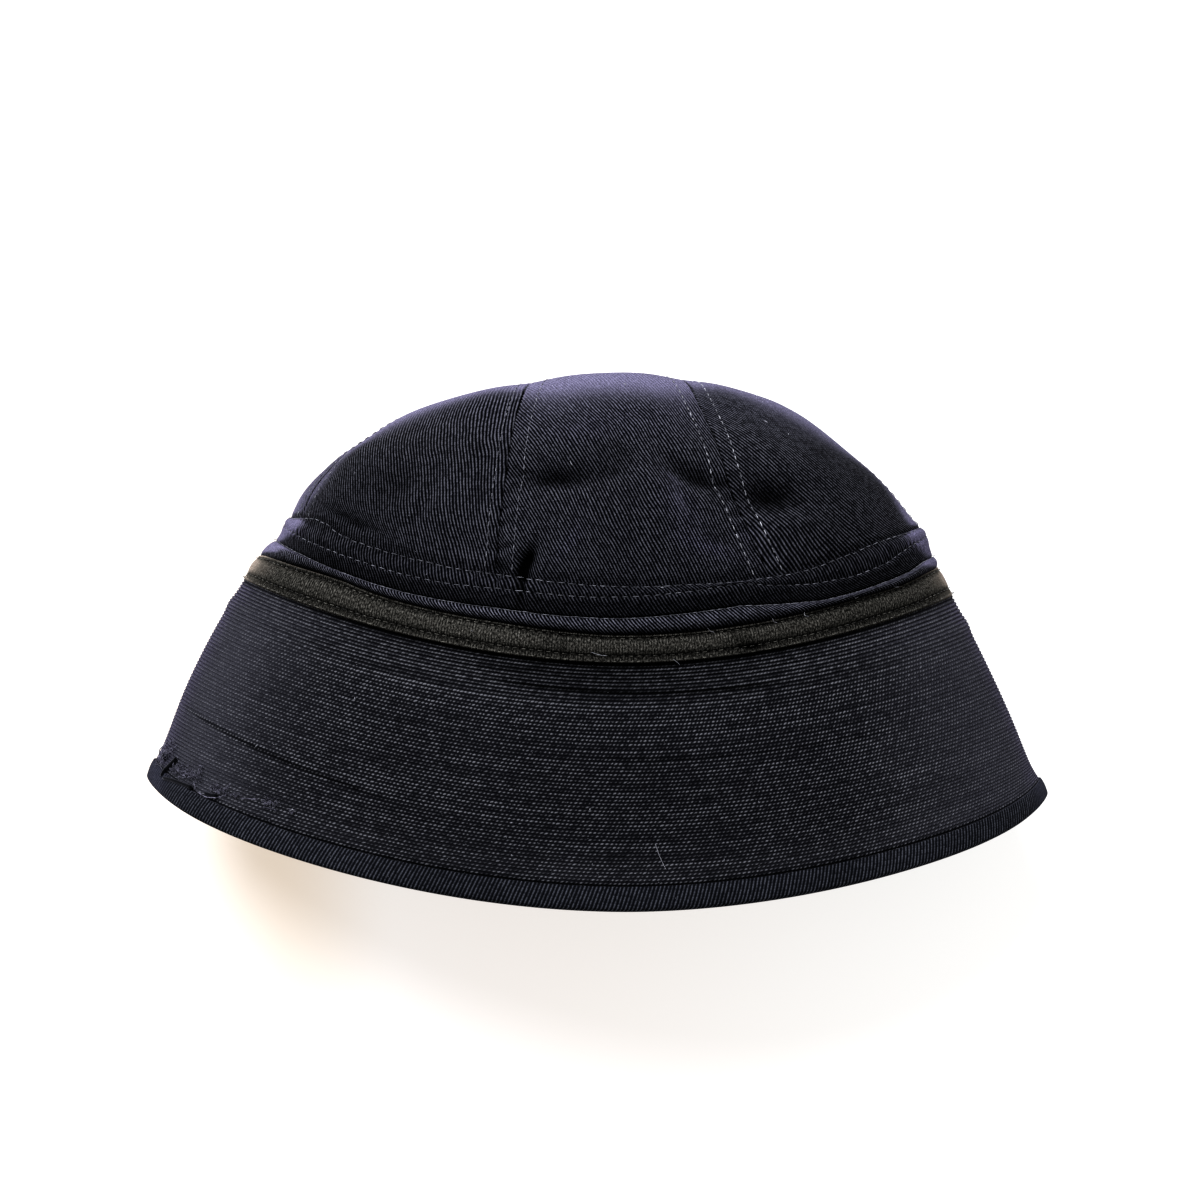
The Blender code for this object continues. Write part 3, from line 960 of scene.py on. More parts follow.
def shader_group(name: str, inputs: GroupSockets, outputs: GroupSockets,
                 fill: Callable[[Wiring, dict], dict]) -> bpy.types.NodeTree:
    """A shader node group, built the first time that it is asked for.

    Args:
        name: the group's name.
        inputs: names and kinds of its inputs.
        outputs: names and kinds of its outputs.
        fill: builds the inside; it gets the wiring and the inputs, and returns the outputs.

    Returns:
        The group.
    """
    if name in bpy.data.node_groups:
        return bpy.data.node_groups[name]
    group = bpy.data.node_groups.new(name, "ShaderNodeTree")
    for label, kind in inputs.items():
        group.interface.new_socket(label, in_out="INPUT", socket_type=kind.value)
    for label, kind in outputs.items():
        group.interface.new_socket(label, in_out="OUTPUT", socket_type=kind.value)
    wiring = Wiring(group)
    entry = group.nodes.new("NodeGroupInput")
    leave = group.nodes.new("NodeGroupOutput")
    found = fill(wiring, {label: entry.outputs[label] for label in inputs})
    for label, value in found.items():
        wiring.join(value, leave.inputs[label])
    return group


def twill_inside(wiring: Wiring, given: dict) -> dict:
    """Slanting ribs broken into the short floats of their yarn."""
    x, y = wiring.split(given["Cloth"])
    drift = wiring.times(wiring.centred_noise(given["Cloth"], 0.045), given["Waver"])
    wobble = wiring.times(wiring.centred_noise(given["Cloth"], 0.9), 0.30)
    cos = wiring.math("COSINE", given["Slant"])
    sin = wiring.math("SINE", given["Slant"])
    across = wiring.plus(wiring.times(x, cos), wiring.times(y, sin))
    along = wiring.less(wiring.times(y, cos), wiring.times(x, sin))
    across = wiring.plus(across, wiring.plus(drift, wobble))
    phase = wiring.over(across, given["Pitch"])
    rib = wiring.wave(phase)
    number = wiring.math("ROUND", phase)
    step = wiring.line(number, YARN_STEP, wiring.over(along, YARN_FLOAT))
    cell = wiring.cell_noise(number, wiring.math("FLOOR", step))
    yarn = wiring.times(wiring.wave(step), rib)
    height = wiring.line(yarn, 0.25, wiring.times(rib, 0.75))
    ridge = wiring.math("POWER", rib, 2.4)
    ridge = wiring.times(ridge, wiring.line(yarn, 0.4, 0.6))
    ridge = wiring.times(ridge, wiring.line(cell, 0.9, 0.5))
    return {"Height": height, "Ridge": ridge}


def twill_group() -> bpy.types.NodeTree:
    """The group that draws twill ribs."""
    inputs = {"Cloth": SocketKind.VECTOR, "Slant": SocketKind.VALUE, "Pitch": SocketKind.VALUE,
              "Waver": SocketKind.VALUE}
    outputs = {"Height": SocketKind.VALUE, "Ridge": SocketKind.VALUE}
    return shader_group("Twill Ribs", inputs, outputs, twill_inside)


def fading_inside(wiring: Wiring, given: dict) -> dict:
    """Uneven fading, rubbed cloth, painted shade and pale flecks laid over a cloth's colour."""
    place = wiring.place()
    patches = wiring.remap(wiring.noise(place, 32.0, 4.0), 0.35, 0.7)
    grime = wiring.remap(wiring.noise(place, 9.0, 3.0), 0.3, 0.75, 0.8, 1.2)
    fuzz = wiring.remap(wiring.noise(place, 2600.0, 2.0, 0.7), 0.45, 0.8)
    share = wiring.times(given["Wear"], wiring.line(patches, 0.6, 0.4), clamp=True)
    share = wiring.times(share, wiring.line(fuzz, 0.6, 0.4), clamp=True)
    worn = wiring.mix(share, given["Colour"], given["Worn Colour"])
    # Below 0 the given value darkens the cloth: mostly painted shade in hollows, creases, recesses
    # and under edges, with some dark rows and seams.
    kept = wiring.line(given["Wear"], 0.95, 1.0, clamp=True)
    shade = wiring.times(grime, kept)
    worn = wiring.mix(1.0, worn, wiring.combine(shade, shade, shade), "MULTIPLY")
    spot = wiring.noise(place, 1500.0, 1.0, 0.4)
    fleck = wiring.remap(spot, given["Fleck Level"], 0.86, 0.0, 0.8)
    return {"Colour": wiring.mix(fleck, worn, LINT), "Fuzz": fuzz, "Painted Shade And Dark Marks": kept}


def fading_group() -> bpy.types.NodeTree:
    """The group that fades and wears a cloth and paints shade on it."""
    inputs = {"Colour": SocketKind.COLOUR, "Worn Colour": SocketKind.COLOUR,
              "Wear": SocketKind.VALUE, "Fleck Level": SocketKind.VALUE}
    outputs = {"Colour": SocketKind.COLOUR, "Fuzz": SocketKind.VALUE, "Painted Shade And Dark Marks": SocketKind.VALUE}
    return shader_group("Cloth Fading And Painted Shade", inputs, outputs, fading_inside)


@dataclass(frozen=True)
class PaintedNapSheen:
    """Painted sheen of soft nap where cloth turns away from the eye, sooner where it is rubbed.

    Its reach is told from 0, where the cloth faces the eye, to 1, where it is seen edge on.
    """

    colour: Colour
    # rim: a painted rim light, where the cloth is seen edge on.
    rim: Colour
    starts: float = 0.66
    full: float = 0.98
    rubbed_gain: float = 0.53
    painted_rim_range: tuple[float, float] = (0.72, 1.1)


class Finish:
    """What every finish shares: a material with a wired Principled shader."""

    def start(self, name: str) -> tuple[bpy.types.Material, Wiring, bpy.types.Node]:
        """A new material.

        Args:
            name: its name.

        Returns:
            The material, its wiring and its shader node.
        """
        material = bpy.data.materials.new(name)
        material.use_nodes = True
        wiring = Wiring(material.node_tree)
        shader = material.node_tree.nodes["Principled BSDF"]
        shader.inputs["Roughness"].default_value = 0.9
        shader.inputs["Specular IOR Level"].default_value = 0.03
        return material, wiring, shader

    def fade(self, wiring: Wiring, shader: bpy.types.Node, colour: object, worn: object,
             fleck_level: float, nap: PaintedNapSheen) -> bpy.types.Node:
        """Lays the fading group and its painted shade over a colour, then the nap's painted sheen.

        Args:
            wiring: the material's wiring.
            shader: its shader node.
            colour: the cloth's colour or the output that makes it.
            worn: the same where it is rubbed.
            fleck_level: noise level over which pale flecks show; higher means fewer.
            nap: the cloth's nap, painted as a sheen.

        Returns:
            The group's node.
        """
        # The attribute holds rubbing above 0 and, below 0, mostly painted shade.
        wear_and_shade = wiring.node("ShaderNodeAttribute", attribute_name="wear_and_shade").outputs["Fac"]
        group = wiring.placed_group(fading_group(), {
            "Colour": colour, "Worn Colour": worn, "Wear": wear_and_shade, "Fleck Level": fleck_level})
        # Painted sheen: the nap's lighter colour where the cloth turns away, and a painted rim
        # light at its edge.
        facing = wiring.node("ShaderNodeLayerWeight", {"Blend": 0.5}).outputs["Facing"]
        raised = wiring.line(wiring.math("MAXIMUM", wear_and_shade, 0.0), nap.rubbed_gain, facing)
        share = wiring.times(wiring.remap(raised, nap.starts, nap.full), group.outputs["Painted Shade And Dark Marks"])
        speckle = wiring.line(group.outputs["Fuzz"], 1.1, 0.35)
        share = wiring.times(share, speckle, clamp=True)
        shade = wiring.mix(wiring.remap(raised, *nap.painted_rim_range), (*nap.colour, 1.0),
                           (*nap.rim, 1.0))
        wiring.join(wiring.mix(share, group.outputs["Colour"], shade), shader.inputs["Base Color"])
        return group

    def relief(self, wiring: Wiring, shader: bpy.types.Node, height: object,
               depth: float) -> None:
        """Joins a height to the shader's normal through a bump of this depth in millimetres."""
        bump = wiring.node("ShaderNodeBump", {"Strength": 1.0, "Distance": depth * MM,
                                              "Height": height})
        wiring.join(bump.outputs[0], shader.inputs["Normal"])


@dataclass(frozen=True)
class TwillFinish(Finish):
    """Navy twill with greyish ridges."""

    name: str
    slant: float
    pitch: float = 1.05
    waver: float = 3.0
    groove: Colour = (0.0002, 0.0002, 0.0010)
    ridge: Colour = (0.108, 0.108, 0.126)
    worn_gain: Colour = (2.6, 2.5, 3.0)
    worn: Colour = (0.0, 0.0, 0.0)
    nap: PaintedNapSheen = PaintedNapSheen((0.095, 0.092, 0.120), (0.26, 0.24, 0.36))
    depth: float = 0.30
    fleck_level: float = 0.79

    def build(self) -> bpy.types.Material:
        """Makes the material."""
        material, wiring, shader = self.start(self.name)
        ribs = wiring.placed_group(twill_group(), {
            "Cloth": wiring.cloth(), "Slant": math.radians(self.slant), "Pitch": self.pitch,
            "Waver": self.waver})
        colour = wiring.mix(ribs.outputs["Ridge"], (*self.groove, 1.0), (*self.ridge, 1.0))
        worn = wiring.mix(1.0, colour, (*self.worn_gain, 1.0), "MULTIPLY")
        worn = wiring.mix(1.0, worn, (*self.worn, 1.0), "ADD")
        group = self.fade(wiring, shader, colour, worn, self.fleck_level, self.nap)
        height = wiring.line(group.outputs["Fuzz"], 0.2, ribs.outputs["Height"])
        self.relief(wiring, shader, height, self.depth)
        return material


@dataclass(frozen=True)
class QuiltFinish(Finish):
    """Navy cloth covered by close rows of stitches that look knitted."""

    name: str = "quilted_brim"
    row_pitch: float = 1.2
    stitch_pitch: float = 1.42
    stitch_lean: float = 0.45
    row_jitter: float = 0.42
    stitch_jitter: float = 1.2
    close_rows_from: float = 70.0
    closed_shares: tuple[float, float] = (0.13, 0.5)
    ground: Colour = (0.0066, 0.0066, 0.0084)
    thread: Colour = (0.160, 0.160, 0.173)
    worn: Colour = (0.12, 0.118, 0.135)
    fleck_level: float = 0.77
    depth: float = 0.34
    nap: PaintedNapSheen = PaintedNapSheen((0.060, 0.059, 0.072), (0.11, 0.10, 0.15), 0.08, 0.75)

    def build(self) -> bpy.types.Material:
        """Makes the material."""
        material, wiring, shader = self.start(self.name)
        dot, mask = self.stitches(wiring)
        colour = wiring.mix(mask, (*self.ground, 1.0), (*self.thread, 1.0))
        group = self.fade(wiring, shader, colour, (*self.worn, 1.0), self.fleck_level, self.nap)
        height = wiring.line(group.outputs["Fuzz"], 0.15, dot)
        self.relief(wiring, shader, height, self.depth)
        return material

    def stitches(self, wiring: Wiring) -> tuple[bpy.types.NodeSocket, bpy.types.NodeSocket]:
        """The dots that the rows of stitches make.

        Args:
            wiring: the material's wiring.

        Returns:
            The dots' height, and how much of the thread's colour shows.
        """
        cloth = wiring.cloth()
        x, y = wiring.split(cloth)
        sway = wiring.centred_noise(cloth, 0.06)
        jitter = wiring.centred_noise(cloth, 0.8)
        row = wiring.over(wiring.plus(y, wiring.times(jitter, self.row_jitter)), self.row_pitch)
        number = wiring.math("FLOOR", row)
        shift = wiring.times(wiring.math("MODULO", number, 2.0), 0.5)
        step = wiring.over(wiring.plus(x, wiring.times(jitter, self.stitch_jitter)),
                           self.stitch_pitch)
        step = wiring.plus(step, wiring.line(sway, 1.5, shift))
        lean = wiring.times(wiring.math("FRACT", row), self.stitch_lean)
        step = wiring.less(step, lean)
        closed = wiring.remap(y, self.close_rows_from - 9.0, self.close_rows_from,
                              *self.closed_shares)
        open_share = wiring.less(1.0, closed)
        dot = wiring.times(wiring.wave(wiring.less(row, 0.5)),
                           wiring.line(wiring.wave(step), open_share, closed))
        cell = wiring.cell_noise(number, wiring.math("ROUND", step))
        line = wiring.cell_noise(number, 3.0)
        streak = wiring.noise(wiring.combine(wiring.times(x, 0.02), wiring.times(y, 0.8)), 1.0)
        streak = wiring.remap(streak, 0.3, 0.7, 0.55, 1.45)
        bright = wiring.times(wiring.line(cell, 1.2, 0.3), streak)
        bright = wiring.times(bright, wiring.line(line, 0.6, 0.7))
        return dot, wiring.times(wiring.math("POWER", dot, 1.9), bright, clamp=True)


@dataclass(frozen=True)
class TapeFinish(Finish):
    """Olive-black tape with fine ribs across it."""

    name: str = "olive_tape"
    rib_pitch: float = 0.95
    rib_jitter: float = 1.2
    groove: Colour = (0.006, 0.006, 0.005)
    ridge: Colour = (0.21, 0.20, 0.178)
    worn: Colour = (0.42, 0.355, 0.305)
    nap: PaintedNapSheen = PaintedNapSheen((0.16, 0.14, 0.12), (0.46, 0.385, 0.33), 0.4, 0.95)
    fleck_level: float = 0.80
    depth: float = 0.18

    def build(self) -> bpy.types.Material:
        """Makes the material."""
        material, wiring, shader = self.start(self.name)
        cloth = wiring.cloth()
        x, y = wiring.split(cloth)
        jitter = wiring.times(wiring.centred_noise(cloth, 0.7), self.rib_jitter)
        rib = wiring.wave(wiring.over(wiring.plus(x, jitter), self.rib_pitch))
        yarn = wiring.noise(wiring.combine(wiring.times(x, 1.6), y), 1.2, 4.0, 0.75)
        tone = wiring.remap(yarn, 0.40, 0.70)
        mask = wiring.times(tone, wiring.line(rib, 0.6, 0.4), clamp=True)
        colour = wiring.mix(mask, (*self.groove, 1.0), (*self.ridge, 1.0))
        group = self.fade(wiring, shader, colour, (*self.worn, 1.0), self.fleck_level, self.nap)
        height = wiring.line(group.outputs["Fuzz"], 0.3, rib)
        self.relief(wiring, shader, height, self.depth)
        return material


@dataclass(frozen=True)
class ThreadFinish(Finish):
    """Twisted thread or loose fibre."""

    name: str
    colour: Colour
    tip: Colour
    depth: float = 0.08
    sheen_weight: float = 0.2
    sheen_tint: Colour = (0.8, 0.8, 0.9)
    sheen_rough: float = 0.5

    def build(self) -> bpy.types.Material:
        """Makes the material."""
        material, wiring, shader = self.start(self.name)
        place = wiring.place()
        twist = wiring.noise(place, 900.0, 2.0)
        faded = wiring.remap(wiring.noise(place, 170.0, 2.0), 0.35, 0.62, 0.35, 1.0)
        tone = wiring.times(wiring.remap(twist, 0.35, 0.65), faded)
        colour = wiring.mix(tone, (*self.colour, 1.0), (*self.tip, 1.0))
        wiring.join(colour, shader.inputs["Base Color"])
        self.relief(wiring, shader, twist, self.depth)
        shader.inputs["Sheen Weight"].default_value = self.sheen_weight
        shader.inputs["Sheen Tint"].default_value = (*self.sheen_tint, 1.0)
        shader.inputs["Sheen Roughness"].default_value = self.sheen_rough
        return material


@dataclass(frozen=True)
class GlowingTableWithPaintedShadow(Finish):
    """The plain pale surface that the cap lies on; it glows, with a painted shadow darker and
    warmer to the left.

    The glow changes over ranges of the floor's x, and of its y's size, in metres.
    """

    name: str = "glowing_table_painted_shadow"
    colour: Colour = (0.62, 0.61, 0.60)
    painted_shadow_glow: Colour = (0.405, 0.335, 0.262)
    painted_half_shadow_glow: Colour = (0.475, 0.447, 0.424)
    right_glow: Colour = (0.51, 0.505, 0.496)
    left_end: tuple[float, float] = (-0.118, -0.070)
    far_left_end: tuple[float, float] = (-0.20, -0.28)
    north_end: tuple[float, float] = (0.23, 0.31)
    right_end: tuple[float, float] = (-0.05, 0.16)

    def build(self) -> bpy.types.Material:
        """Makes the material of a table that glows, with the cap's shadow painted into its glow.
        """
        material, wiring, shader = self.start(self.name)
        shader.inputs["Base Color"].default_value = (*self.colour, 1.0)
        shader.inputs["Roughness"].default_value = 0.8
        east, north = wiring.split(wiring.place())
        # The glow paints the cap's shadow: darkest and warmest between far_left_end and left_end
        # and inside north_end, lighter towards right_end.
        away = wiring.math("MAXIMUM", wiring.remap(east, *self.left_end),
                           wiring.remap(east, *self.far_left_end))
        north = wiring.math("ABSOLUTE", north)
        away = wiring.math("MAXIMUM", away, wiring.remap(north, *self.north_end))
        glow = wiring.mix(away, (*self.painted_shadow_glow, 1.0), (*self.painted_half_shadow_glow, 1.0))
        glow = wiring.mix(wiring.remap(east, *self.right_end), glow, (*self.right_glow, 1.0))
        wiring.join(glow, shader.inputs["Emission Color"])
        shader.inputs["Emission Strength"].default_value = 1.0
        return material


class Slot(Enum):
    """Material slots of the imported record."""

    TWILL = "navy_twill"
    QUILT = "quilted_navy"
    TAPE = "olive_black_tape"
    BINDING = "binding_twill"


def dress(piece: bpy.types.Object, slot: Slot, *nodes: str) -> None:
    """Joins a finished piece to the frame and reports it.

    Args:
        piece: the piece.
        slot: not used.
        nodes: nodes that it stands for.
    """
    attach(piece, BODY)
    if nodes:
        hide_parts(*nodes)
    LOG.info("%s: %d faces", piece.name, len(piece.data.polygons))


# ---- sub-assemblies -------------------------------------------------------------------------


@dataclass(frozen=True)
class ReliefPoint:
    """One point of a strip's relief: rise, height out of the cap's surface, and rubbing, below 0
    painted shade.
    """

    rise: float
    out: float
    wear_and_shade: float = 0.0


def relief_curve(points: Sequence[ReliefPoint], name: str, rises: Array) -> Array:
    """A strip's relief at its rows.

    Args:
        points: the relief's points.
        name: which of their values, "out" or "wear".
        rises: rises of the rows.

    Returns:
        The value at each row.
    """
    return np.interp(rises, [point.rise for point in points],
                     [getattr(point, name) for point in points])


def ring_turns(columns: int) -> Array:
    """Even turns of a ring's columns, which starts at the middle of the back."""
    return 0.5 + np.arange(columns) / columns


def fold_wear(turns: Array, half_width: float) -> Array:
    """Wear that is strongest along the two side folds.

    Args:
        turns: turns round the cap.
        half_width: turns over which it falls off on each side.

    Returns:
        The rubbing, 1 on a fold.
    """
    away = np.minimum(*(np.abs(centred(turns - fold)) for fold in SIDE_FOLDS))
    return np.exp(-((away / half_width) ** 2))


@dataclass
class Strip:
    """A cloth strip round the cap whose relief follows a short table."""

    surface: CapSurface
    relief: tuple[ReliefPoint, ...]
    wall: float
    columns: int
    rows: int
    cloth_pitch: float
    gather: float = 0.0
    gather_pitch: float = 2.9
    fold_wear_width: float = 0.02
    fold_wear_share: float = 0.4
    fold_press: float = 0.62
    press_width: float = 0.035
    # painted shade in the dents and creases
    painted_hollow_shade: float = 0.0
    hollow_range: tuple[float, float] = (1.0, 2.8)
    inner_rows: int = 4
    least_out: float = 0.05
    uneven_gather: float = 1.3
    uneven_length: float = 23.0

    def sheets(self) -> tuple[Sheet, Sheet]:
        """The strip's outer and inner side."""
        turns = ring_turns(self.columns)
        low, high = self.relief[0].rise, self.relief[-1].rise
        rises = np.linspace(low, high, self.rows)
        length = float(self.surface.length_at((low + high) / 2))
        length = round(length / self.cloth_pitch) * self.cloth_pitch
        outer = self.side(turns, rises, relief_curve(self.relief, "out", rises), length)
        base = min(self.relief[0].out, self.relief[-1].out) - self.wall
        in_rises = np.linspace(low, high, self.inner_rows)
        outs = np.full(self.inner_rows, max(base, self.least_out))
        inner = self.side(turns, in_rises, outs, length)
        return outer, inner

    def side(self, turns: Array, rises: Array, outs: Array, length: float) -> Sheet:
        """One side of the strip.

        Args:
            turns: turns of its columns.
            rises: rises of its rows.
            outs: each row's distance out of the cap's surface.
            length: the strip's length in whole ribs.

        Returns:
            The side, gathered most where its relief is steepest.
        """
        turn_grid, rise_grid = np.meshgrid(turns, rises)
        walk = turn_grid * length
        share = (rise_grid - rises[0]) / (rises[-1] - rises[0])
        steep = np.abs(np.gradient(outs))
        steep = steep[:, None] / max(float(steep.max()), 1e-6)
        wave = np.sin(2 * math.pi * walk / self.gather_pitch
                      + self.uneven_gather * np.sin(walk / self.uneven_length))
        out = outs[:, None] + self.gather * wave * steep * np.sin(math.pi * share)
        out = out * (1 - self.fold_press * fold_wear(turn_grid, self.press_width))
        points = self.surface.place(turn_grid, rise_grid, out)
        along = self.surface.sample(self.surface.walked, np.zeros_like(rises), rises)
        along = np.broadcast_to(along[:, None], turn_grid.shape)
        wear_and_shade = self.fold_wear_share * fold_wear(turn_grid, self.fold_wear_width)
        wear_and_shade = wear_and_shade + relief_curve(self.relief, "wear_and_shade", rises)[:, None]
        hollow = self.surface.hollow_at(turn_grid, rise_grid)
        # Painted shade in the dents and creases.
        wear_and_shade = wear_and_shade - self.painted_hollow_shade * ramp(hollow, *self.hollow_range)
        wear_and_shade = wear_and_shade + self.surface.rubbed(points)
        return Sheet(points, walk, along, wear_and_shade)


@dataclass
class Crown:
    """Six twill panels that meet in seams and run up to the crown's point.

    A pair of values gives the rises, or for hollow_range the depths, over which something starts.
    """

    surface: CapSurface
    low_rise: float = 1.12
    high_rise: float = 2.2395
    seam_gap: float = 0.12
    wall: float = 1.2
    slant: float = 33.0
    names: tuple[str, ...] = ("front", "right", "back_right", "back", "back_left", "left")
    grain_turns: tuple[float, ...] = (9.0, -5.0, 0.0, 0.0, 0.0, 11.0)
    rib_spreads: tuple[float, ...] = (1.0, 1.16, 1.0, 1.0, 1.0, 1.06)
    drape: float = 0.5
    front_veil: tuple[float, float] = (1.66, 1.87)
    side_veil: tuple[float, float] = (1.68, 1.93)
    veil_end: tuple[float, float] = (2.05, 2.2)
    veil_at_seam: float = 0.75
    front_veil_gain: float = 0.25
    side_veil_gain: float = -0.25
    veil_width: float = 16.0
    # painted shade along the crown's foot, under the band's raised edge
    foot_painted_shade: float = 0.4
    foot: tuple[float, float] = (1.345, 1.385)
    seam_dark: float = 0.55
    seam_dark_width: float = 0.35
    seam_from: tuple[float, float] = (1.34, 1.4)
    # painted shade in the dents and creases
    hollow_painted_shade: float = 0.93
    hollow_range: tuple[float, float] = (0.6, 5.2)
    even_columns: float = 0.35
    fine_columns: int = 180
    fine_rows: int = 260
    plain_columns: int = 44
    plain_rows: int = 70
    inner_share: int = 4

    def build(self) -> None:
        """Makes and dresses the panels."""
        finish = TwillFinish("crown_twill", self.slant).build()
        for number, name in enumerate(self.names):
            fine = name in ("front", "right", "left")
            columns = self.fine_columns if fine else self.plain_columns
            rows = self.fine_rows if fine else self.plain_rows
            outer = self.side(number, columns, rows, 0.0)
            inner = self.side(number, columns, rows // self.inner_share, -self.wall)
            piece = wall_mesh(f"{name}_panel_twill", outer, inner, Wrap.OPEN, finish)
            dress(piece, Slot.TWILL, f"crown_panel_{name}")

    def side(self, number: int, columns: int, rows: int, out: float) -> Sheet:
        """One side of a panel.

        Args:
            number: the panel's number, which is also its first seam's.
            columns: points across it.
            rows: points along it.
            out: distance out of the cap's surface.

        Returns:
            The side, with cloth coordinates that follow the panel's own grain.
        """
        even = np.linspace(0.0, 1.0, columns)
        eased = (1 - self.even_columns) / 2 * (1 - np.cos(math.pi * even))
        shares = self.even_columns * even + eased
        rises = np.linspace(self.low_rise, self.high_rise, rows)
        lengths = self.surface.length_at(rises)
        starts = np.array([self.surface.seam_turn(number, float(rise), float(length))
                           for rise, length in zip(rises, lengths)])
        ends = np.array([self.surface.seam_turn(number + 1, float(rise), float(length))
                         for rise, length in zip(rises, lengths)])
        inset = self.seam_gap / 2 / lengths
        starts, ends = starts + inset, ends - inset
        turns = starts[:, None] + (ends - starts)[:, None] * shares[None, :]
        rise_grid = np.broadcast_to(rises[:, None], turns.shape)
        points = self.surface.place(turns, rise_grid, out)
        middle = self.surface.front_seam_turn + (number + 0.5) / self.surface.panel_count
        hollow = self.surface.hollow_at(turns, rise_grid)
        across = (turns - middle) * lengths[:, None]
        along = self.surface.sample(self.surface.walked, np.full(rows, middle), rises)
        along = along[:, None] - self.drape * hollow
        turn = math.radians(self.grain_turns[number])
        spread = self.rib_spreads[number]
        across, along = ((across * math.cos(turn) - along * math.sin(turn)) / spread,
                         (across * math.sin(turn) + along * math.cos(turn)) / spread)
        edge = np.minimum(turns - starts[:, None], ends[:, None] - turns) * lengths[:, None]
        wear_and_shade = self.veil(number, rise_grid, edge) + self.surface.rubbed(points)
        # Painted shade along the crown's foot, under the band's raised edge.
        wear_and_shade = wear_and_shade - self.foot_painted_shade * (1 - ramp(rise_grid, *self.foot))
        seam = np.exp(-((edge / self.seam_dark_width) ** 2)) * ramp(rise_grid, *self.seam_from)
        wear_and_shade = wear_and_shade - self.seam_dark * seam
        # Painted shade in the dents and creases.
        wear_and_shade = wear_and_shade - self.hollow_painted_shade * ramp(hollow, *self.hollow_range)
        return Sheet(points, across, along, wear_and_shade)

    def veil(self, number: int, rises: Array, edge: Array) -> Array:
        """Lightening of a panel's upper part.

        Args:
            number: the panel's number; 0 is the front.
            rises: rises of its points.
            edge: their distance from the panel's nearer seam.

        Returns:
            The lightening, which is the same along a seam for both its panels.
        """
        reach = self.side_veil if number else self.front_veil
        gain = self.side_veil_gain if number else self.front_veil_gain
        wear_and_shade = ramp(rises, *reach) * (1 - ramp(rises, *self.veil_end))
        return wear_and_shade * (self.veil_at_seam + gain * ramp(edge, 0.0, self.veil_width))


@dataclass
class Hem:
    """The stitched band and the rolled strip between the crown and the head tape."""

    surface: CapSurface
    slant: float = 35.0
    pitch: float = 1.0
    waver: float = 1.2
    # The band's ridges are a darker copy of the crown's twill as painted shade, and the roll's a
    # lighter one as a painted highlight.
    band_painted_shade_ridge: Colour = (0.080, 0.080, 0.093)
    roll_painted_highlight_ridge: Colour = (0.150, 0.150, 0.176)
    # Below 0 the reliefs' last values are painted shade in grooves and along edges; above 0 they
    # lighten crests, the roll's top as a painted highlight.
    band: tuple[ReliefPoint, ...] = (
        ReliefPoint(1.201, 0.30, -0.9),
        ReliefPoint(1.208, 0.75, -0.75),
        ReliefPoint(1.225, 0.85, -0.55),
        ReliefPoint(1.255, 1.00, -0.40),
        ReliefPoint(1.280, 1.35, -0.20),
        ReliefPoint(1.291, 1.20, -0.05),
        ReliefPoint(1.297, 0.65, -0.40),
        ReliefPoint(1.303, 1.10, 0.0),
        ReliefPoint(1.314, 1.40, 0.10),
        ReliefPoint(1.325, 1.10, 0.0),
        ReliefPoint(1.333, 0.50, -0.35),
        ReliefPoint(1.337, 0.20, -0.60),
    )
    roll: tuple[ReliefPoint, ...] = (
        ReliefPoint(1.122, 0.30, -0.95),
        ReliefPoint(1.127, 1.20, -0.90),
        ReliefPoint(1.136, 2.10, -0.45),
        ReliefPoint(1.148, 2.70, 0.0),
        ReliefPoint(1.164, 2.95, 0.10),
        ReliefPoint(1.180, 2.60, 0.20),
        ReliefPoint(1.192, 1.70, 0.0),
        ReliefPoint(1.198, 0.55, -0.60),
    )

    def build(self) -> None:
        """Makes and dresses both strips."""
        ribs_apart = self.pitch / math.cos(math.radians(self.slant))
        band = Strip(self.surface, self.band, 1.0, 900, 34, ribs_apart, gather=0.30,
                     fold_wear_width=0.040, fold_wear_share=1.0, fold_press=0.3,
                     painted_hollow_shade=0.9)
        self.piece("stitched_hem_band", band, "hem_twill_painted_shade", self.band_painted_shade_ridge, "hem_band")
        roll = Strip(self.surface, self.roll, 0.3, 720, 26, ribs_apart,
                     fold_wear_width=0.030, fold_wear_share=0.9, painted_hollow_shade=0.5)
        self.piece("plump_rolled_strip", roll, "roll_twill_painted_highlight", self.roll_painted_highlight_ridge, "rolled_strip")

    def piece(self, name: str, strip: Strip, finish_name: str, ridge: Colour, node: str) -> None:
        """Makes one strip in its own twill and joins it to its node."""
        finish = TwillFinish(finish_name, self.slant, self.pitch, self.waver, ridge=ridge)
        dress(wall_mesh(name, *strip.sheets(), Wrap.RING, finish.build()), Slot.TWILL, node)


